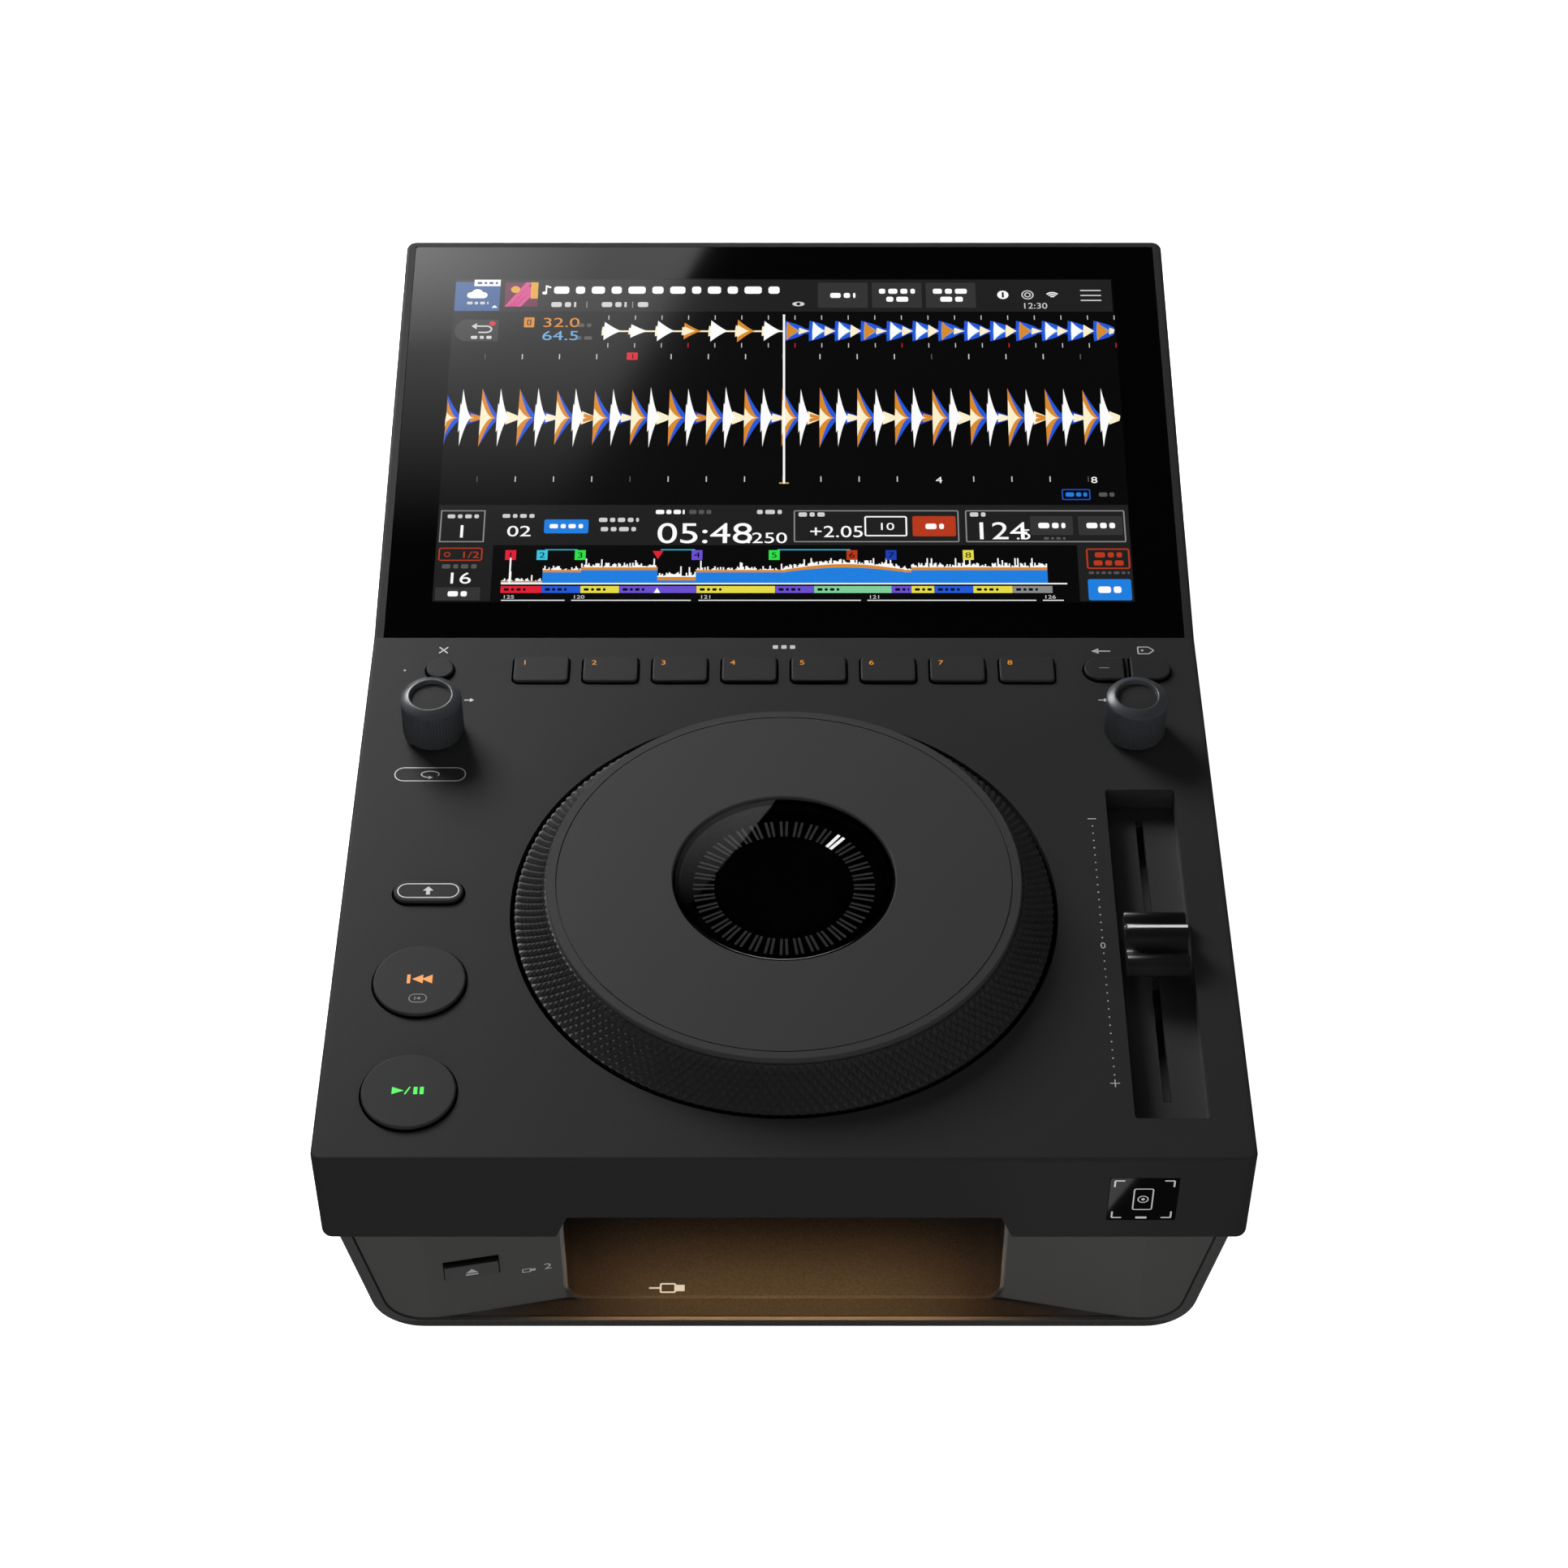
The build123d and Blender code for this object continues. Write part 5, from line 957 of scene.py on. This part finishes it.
def track_row():
    """Loop box, figures, wave of the whole track with its marks, and two buttons."""
    bar(bar_grey, -1, 667, 104, 798, 1)
    bar(bar_grey, 1180, 667, 1279, 798, 1)
    box(brick, 4, 673, 85, 704, 2.5, 2, 5)
    text(brick, "1/2", 62, 697, 15, 2, 1.3, "CENTER")
    loop(brick, disc(20, 689, 6, 14), disc(20, 689, 4, 14), 2)
    words(faint, 12, 80, 712, 10)
    text(white, "16", 44, 757, 26, 2, 1.3, "CENTER")
    bar(tile_grey, 3, 766, 85, 796, 2, 2)
    words(white, 26, 64, 775, 12, 3)
    floor = 756
    tall = 58
    x = 122.0
    width = 2.6
    while x < 1121:
        level = track_level(x)
        noise = random.uniform(-0.08, 0.10)
        spike = 0.25 if random.random() < (0.22 if level < 0.5 else 0.05) else 0.0
        top = floor - tall * min(1.0, level + noise + spike)
        solid = floor - tall * level * (0.72 if level > 0.5 else 0.3)
        warm = floor - tall * level * (0.88 if level > 0.5 else 0.7)
        bar(white, x, top, x + width, floor, 2)
        bar(orange, x, warm, x + width, floor, 3)
        bar(sky if level > 0.2 else soft_white, x, solid, x + width, floor, 4)
        x += width
    bar(white, 122, 756, 1158, 759, 5)
    bar(white, 136, 697, 139, 757, 6)
    for figure, (x, ink) in enumerate(markers, 1):
        bar(ink, x - 10, 679, x + 10, 702, 5)
        text(black_dots, str(figure), x, 697, 13, 6, 1.3, "CENTER")
    face(red, ((398, 681), (418, 681), (408, 700)), 5)
    for (x0, ink), (x1, _) in zip(phrases, phrases[1:]):
        bar(ink, x0, 763, x1 - 0.5, 779, 2)
        words(black_dots, x0 + 6, min(x1 - 4, x0 + 46), 768, 6, 3, 4)
    face(white, ((402, 779), (414, 779), (408, 767)), 5)
    for x0, x1 in ((124, 240), (252, 470), (484, 780), (792, 1100), (1112, 1150)):
        bar(white, x0, 795, x1, 797, 2)
        text(soft_white, str(int(x0 % 7) + 120), x0 + 2, 792, 8, 2, 1.3)
    for x0, x1 in ((200, 260), (413, 476), (628, 762)):
        bar(cyan, x0, 677, x1, 679, 4)
    box(brick, 1196, 675, 1276, 723, 3, 2, 5)
    words(brick, 1212, 1262, 684, 12)
    words(brick, 1209, 1264, 703, 12, 2, 5, 2)
    words(faint, 1199, 1274, 729, 6, 2, 4)
    bar(sky, 1196, 747, 1275, 796, 2, 4)
    words(white, 1214, 1258, 764, 15, 3)


bar(black_dots, -2, -1, 1281, 801)
top_bar()
second_row()
short_wave()
long_wave()
info_bar()
track_row()
screen.finish()

# ---- printed and lit marks
deck_ink = mottled("deck_ink", grey(0.55), 0.5, grain=0.2, bump=0.05, shade=0.05)
dim_ink = mottled("dim_ink", grey(0.16), 0.5, grain=0.2, bump=0.05, shade=0.05)
amber_glow = glowing("amber_glow", linear("e8951f"), 1.0, 0.4)
orange_glow = glowing("orange_glow", linear("f08c1e"), 1.1, 0.4)
green_glow = glowing("green_glow", linear("20e835"), 1.2, 0.4)


def deck_print():
    """White prints on the deck: scale of the fader, signs over the keys and a loop sign."""
    sheet = Print("deck_print", deck_point, "chassis")
    scale_x = 88.9
    sheet.bar(deck_ink, scale_x - 1.2, 124.65, scale_x + 1.2, 124.95)
    sheet.bar(deck_ink, scale_x - 1.3, 25.85, scale_x + 1.3, 26.15)
    sheet.bar(deck_ink, scale_x - 0.15, 24.7, scale_x + 0.15, 27.3)
    sheet.text(deck_ink, "0", scale_x, 74.6, 2.2, align="CENTER")
    steps = 16
    middle = 75.7
    for i in range(1, steps + 1):
        for end in (124.8, 26.0):
            sheet.face(deck_ink, disc(scale_x, middle + (end - middle) * i / (steps + 1), 0.24, 8))
    # Row of small marks over the pads
    for i in range(3):
        sheet.bar(deck_ink, -3.4 + i * 2.6, 196.6, -1.8 + i * 2.6, 198.2, radius=0.3)
    # Cross over the delete key, arrow over the back key, tag over the tag key
    for sign in (-1, 1):
        sheet.path(deck_ink, ((-104.6, 196 - sign * 1.3), (-102.0, 196 + sign * 1.3)), 0.4)
    sheet.path(deck_ink, ((94.3, 195.6), (99.0, 195.6)), 0.4)
    sheet.face(deck_ink, ((93.2, 195.6), (95.4, 194.4), (95.4, 196.8)))
    tag_outline = [(107.4, 194.4), (110.6, 194.4), (112.2, 195.9), (110.6, 197.4), (107.4, 197.4)]
    sheet.path(deck_ink, tag_outline + tag_outline[:1], 0.35)
    sheet.face(deck_ink, disc(108.7, 195.9, 0.4, 10))
    # Pill under the left knob, with a loop arrow in it
    sheet.box(deck_ink, -114.0, 140.05, -93.0, 145.75, 0.3, radius=2.85)
    turn = [(-103.5 + 2.6 * cos(radians(a)), 142.9 + 1.3 * sin(radians(a))) for a in range(-30, 271, 20)]
    sheet.path(deck_ink, turn, 0.35)
    sheet.face(deck_ink, ((-103.9, 140.9), (-103.9, 142.3), (-102.6, 141.6)))
    # Signs beside the knobs and the small lamp over the left one
    for x, sign in ((-94.4, 1), (95.2, -1)):
        sheet.path(deck_ink, ((x - 1.2, 174.2), (x + 0.6, 174.2)), 0.35)
        sheet.face(deck_ink, ((x + 0.5, 173.4), (x + 0.5, 175.0), (x + 1.7, 174.2)))
    sheet.face(deck_ink, disc(-114.4, 187.1, 0.35, 12))
    sheet.finish()


def key_mark(name, node, draw):
    """Marks on top of a key; draw(sheet, x, y) gets the middle of the key."""
    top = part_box(node)[1].z / MM - deck_z

    def place(x, y, lift):
        return deck_point(x, y, top + lift)

    sheet = Print(name, place, node + "_body")
    draw(sheet, *middle_of(node))
    sheet.finish()


def pad_figure(figure):
    """Lit figure in the upper left corner of a pad."""
    def draw(sheet, x, y):
        sheet.text(amber_glow, figure, x - 5.0, y + 1.6, 1.9, stretch=1.25, align="CENTER")
    return draw


def cue_sign(sheet, x, y):
    """Lit bar and two triangles, and a small outlined sign below."""
    up = y + 0.2
    sheet.bar(orange_glow, x - 3.4, up - 1.6, x - 2.5, up + 1.6)
    for tip in (x - 2.0, x + 0.6):
        sheet.face(orange_glow, ((tip, up), (tip + 3.0, up + 1.6), (tip + 3.0, up - 1.6)))
    sheet.box(dim_ink, x - 2.5, y - 8.4, x + 2.6, y - 5.2, 0.3, radius=1.6)
    sheet.bar(dim_ink, x - 0.9, y - 7.4, x - 0.6, y - 6.2)
    sheet.face(dim_ink, ((x - 0.4, y - 6.8), (x + 0.7, y - 6.2), (x + 0.7, y - 7.4)))


def play_sign(sheet, x, y):
    """Lit play triangle, stroke and pause bars."""
    half = 1.25
    sheet.face(green_glow, ((x - 4.4, y - half), (x - 4.4, y + half), (x - 1.2, y)))
    sheet.path(green_glow, ((x - 0.9, y - half), (x + 0.4, y + half)), 0.4)
    for left in (1.4, 3.1):
        sheet.bar(green_glow, x + left, y - half, x + left + 1.05, y + half)


def shift_sign(sheet, x, y):
    """Outlined pill with an arrow up in it."""
    sheet.box(deck_ink, x - 8.8, y - 2.8, x + 8.8, y + 2.8, 0.35, radius=2.8)
    sheet.face(deck_ink, ((x - 1.5, y), (x + 1.5, y), (x, y + 1.6)))
    sheet.bar(deck_ink, x - 0.55, y - 1.5, x + 0.55, y)


def back_sign(sheet, x, y):
    """Short dim dash on the back key."""
    sheet.path(dim_ink, ((x - 1.5, y), (x + 1.5, y)), 0.4)


deck_print()
for i in range(8):
    key_mark(f"pad_{i + 1}_mark", f"pad_{i + 1}", pad_figure(str(i + 1)))
key_mark("cue_mark", "cue_button", cue_sign)
key_mark("play_mark", "play_button", play_sign)
key_mark("shift_mark", "shift_button", shift_sign)
key_mark("back_mark", "back_button", back_sign)


def lens_ticks():
    """Ring of thin ticks in pairs on the display under the lens, one pair lit."""
    def place(x, y, lift):
        return deck_point(x, jog_y + y, jog_display_height + lift)

    dim = glowing("tick_dim", linear("2c2c2c"), 1.0, 0.05)
    lit = glowing("tick_lit", linear("ffffff"), 1.0, 0.05)
    sheet = Print("lens_ticks", place, "chassis")
    for pair in range(36):
        for part in (-1, 1):
            turn = radians(50 + 10 * pair + part * 1.9)
            ends = [(r * cos(turn), r * sin(turn)) for r in (19.6, 25.5)]
            sheet.path(dim if pair else lit, ends, 0.75 if pair else 0.95)
    sheet.finish()


def reader_graphics():
    """Corner brackets, a phone outline and a small bar on the reader window."""
    pale = glowing("reader_pale", linear("c8c8c8"), 0.8, 0.1)
    sheet = Print("reader_graphics", front_point, "chassis")
    middle_x, middle_z = 95.7, -16.85
    reach, arm, line = 7.9, 2.6, 0.45
    for sx in (-1, 1):
        for sz in (-1, 1):
            x, z = middle_x + sx * reach, middle_z + sz * reach
            sheet.path(pale, ((x, z), (x - sx * arm, z)), line)
            sheet.path(pale, ((x, z), (x, z - sz * arm)), line)
    sheet.box(pale, middle_x - 2.7, middle_z - 4.6, middle_x + 2.7, middle_z + 4.6, 0.35, radius=0.7)
    sheet.loop(pale, disc(middle_x, middle_z, 1.5, 18), disc(middle_x, middle_z, 1.2, 18))
    sheet.face(pale, disc(middle_x, middle_z, 0.5, 10))
    sheet.bar(pale, middle_x - 1.5, middle_z - 8.3, middle_x + 1.5, middle_z - 7.5)
    sheet.finish()


def bay_signs():
    """Eject sign on its key, a plug and a figure on the facet, and a plug printed on the bay floor that glows
    as painted light from the bay lamp.
    """
    key = Print("eject_sign", facet_point, "eject_button_body", lift=0.9 + ink_lift)
    middle_x, middle_z = -86.2, -56.2
    key.face(deck_ink, ((middle_x - 1.7, middle_z), (middle_x + 1.7, middle_z), (middle_x, middle_z + 1.7)))
    key.bar(deck_ink, middle_x - 1.7, middle_z - 1.0, middle_x + 1.7, middle_z - 0.45)
    key.finish()
    label = Print("facet_label", facet_point, "chassis")
    label.text(deck_ink, "2", -65.5, -60.7, 2.5, stretch=1.3, align="CENTER")
    label.box(deck_ink, -72.6, -60.9, -70.2, -59.3, 0.3)
    label.bar(deck_ink, -70.2, -60.6, -68.9, -59.6)
    label.finish()
    # painted light: the plug print glows, standing in for the bay lamp's light falling on it
    lit = glowing("bay_sign_painted_glow", linear("e8d8ba"), 0.9, 0.4)

    def on_floor(x, y, lift):
        return deck_point(x, y, pocket_floor_z + lift)

    plug = Print("bay_plug_sign", on_floor, "chassis")
    plug.path(lit, ((-38.0, 14.0), (-35.0, 14.0)), 0.55)
    plug.box(lit, -35.0, 12.3, -30.4, 15.7, 0.5, radius=0.6)
    plug.bar(lit, -30.4, 12.9, -28.0, 15.1)
    plug.finish()


lens_ticks()
reader_graphics()
bay_signs()


# ---- studio
def stage_sheet(name, corners, material):
    """Flat polygon of the studio."""
    mesh = bpy.data.meshes.new(name)
    mesh.from_pydata(corners, [], [tuple(range(len(corners)))])
    mesh.materials.append(material)
    sheet = bpy.data.objects.new(name, mesh)
    bpy.context.scene.collection.objects.link(sheet)
    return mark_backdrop(sheet) or sheet


def studio_floor():
    """Wide pale floor and walls; the object neither mirrors them nor takes light from them."""
    size = 30.0
    height = 20.0
    paint = mottled("floor_paint", grey(0.90), 0.9, grain=3.0, bump=0.0, shade=0.004,
                    specular=0.1, coarse=400.0)
    shader = paint.node_tree.nodes["Principled BSDF"]
    shader.inputs["Emission Color"].default_value = (1, 1, 1, 1)
    shader.inputs["Emission Strength"].default_value = 1.0
    corners = [(-size, -size), (size, -size), (size, size), (-size, size)]
    sheets = [stage_sheet("floor", [(x, y, 0) for x, y in corners], paint)]
    for i in range(4):
        (x0, y0), (x1, y1) = corners[i - 1], corners[i]
        ends = [(x0, y0, 0), (x1, y1, 0), (x1, y1, height), (x0, y0, height)]
        wall = stage_sheet(f"wall_{i}", ends, paint)
        wall.visible_shadow = False
        sheets.append(wall)
    for sheet in sheets:
        sheet.visible_diffuse = False
        sheet.visible_glossy = False


def soft_light(name, place, target, size, power, tint=(1, 1, 1), spread=180, shown=False):
    """Square studio light that looks at a target; if not shown, glossy surfaces don't mirror it."""
    lamp = bpy.data.lights.new(name, "AREA")
    lamp.shape = "RECTANGLE"
    lamp.size, lamp.size_y = size
    lamp.energy = power
    lamp.color = tint
    lamp.spread = radians(spread)
    light = bpy.data.objects.new(name, lamp)
    bpy.context.scene.collection.objects.link(light)
    light.location = place
    light.rotation_mode = "QUATERNION"
    light.rotation_quaternion = (Vector(target) - Vector(place)).to_track_quat("-Z", "Y")
    light.visible_glossy = shown
    return light


def studio_world():
    """Pale surroundings, dark where the screen and the lens mirror them."""
    world = bpy.data.worlds.new("studio")
    bpy.context.scene.world = world
    world.use_nodes = True
    tree = world.node_tree
    mirrored = Vector((0.0, 0.59, 0.81)).normalized()
    inputs = dict(in_0=place_socket(tree, "Generated"), in_1=mirrored)
    facing = add_node(tree, "VectorMath", inputs, operation="DOT_PRODUCT").outputs["Value"]
    glow = ranged(tree, facing, cos(radians(62)), cos(radians(30)), world_glow, 0.0, "SMOOTHSTEP")
    feed(tree, tree.nodes["Background"], Strength=glow, Color=(1, 1, 1, 1))


def mirror_card(name, corners, glow, fade_from, fade_to, spot=None):
    """Bright card that only shines in glossy surfaces, and fades upwards between two heights.

    spot is the centre, radius and glow of a brighter patch on it.
    """
    material, tree = new_material(name)[:2]
    tree.nodes.clear()
    place = place_socket(tree)
    height = add_node(tree, "SeparateXYZ", dict(in_0=place)).outputs["Z"]
    strength = ranged(tree, height, fade_from, fade_to, glow, 0.0, "SMOOTHSTEP")
    if spot:
        centre, radius, extra = spot
        away = add_node(tree, "VectorMath", dict(in_0=place, in_1=centre), operation="DISTANCE")
        patch = ranged(tree, away.outputs["Value"], 0.0, radius, extra, 0.0)
        strength = calc(tree, "ADD", strength, patch)
    shine = add_node(tree, "Emission", dict(Strength=strength))
    add_node(tree, "OutputMaterial", dict(Surface=shine.outputs[0]))
    card = stage_sheet(name, corners, material)
    card.visible_camera = False
    card.visible_diffuse = False
    card.visible_shadow = False


world_glow = 0.09
studio_floor()
studio_world()
soft_light("key_light", (-0.40, 0.5, 0.5), (0, -0.05, 0.083), (0.34, 0.34), 8.6, shown=True)
soft_light("top_light", (-0.2, 0.0, 2.4), (0, 0, 0), (2.0, 2.0), 4)
soft_light("fill_light", (-0.3, -1.8, 0.45), (0, 0, 0.05), (1.6, 0.8), 15.5)
soft_light("side_light", (1.7, 0.4, 0.7), (0, 0, 0.05), (1.2, 0.8), 5)
soft_light("low_light", (1.7, 0.1, 0.06), (0, 0, 0.05), (1.0, 0.1), 3)
card_y = 1.2
mirror_card("screen_card", (
    (-0.070, card_y, 1.684), (-0.262, card_y, 2.246), (-0.333, card_y, 2.454), (-0.9, card_y, 2.454),
    (-0.9, card_y, 1.62), (-0.048, card_y, 1.62),
), 1.85, 1.62, 2.25, ((-0.345, card_y, 1.67), 0.19, 3.0))
mirror_card("lens_card", (
    (0.0238, card_y, 1.330), (-0.0582, card_y, 1.471), (-0.110, card_y, 1.560), (-0.6, card_y, 1.560),
    (-0.6, card_y, 1.330),
), 0.56, 1.37, 1.52)
mirror_card("reader_card", (
    (0.1110, -0.2512, 0.0006), (0.0942, -0.2286, 0.0006), (0.088, -0.2204, 0.0006), (0.07, -0.2204, 0.0006),
    (0.07, -0.2512, 0.0006),
), 2.4, 1.0, 2.0)
soft_light(
    "bay_glow", deck_point(0, 14.5, -40.0), deck_point(0, 6.0, -75.5), (0.1, 0.004), 0.055,
    (1.0, 0.55, 0.22), 105,
)

view = bpy.data.cameras.new("photo_camera")
camera = bpy.data.objects.new("photo_camera", view)
bpy.context.scene.collection.objects.link(camera)
camera.location = (0, -0.73979, 0.78839)
camera.rotation_euler = (radians(90 - 45.3465), 0, 0)
view.lens = 78.06
view.sensor_width = 36
view.clip_start = 0.01
view.clip_end = 100
bpy.context.scene.camera = camera
bpy.context.scene.view_settings.view_transform = "Standard"
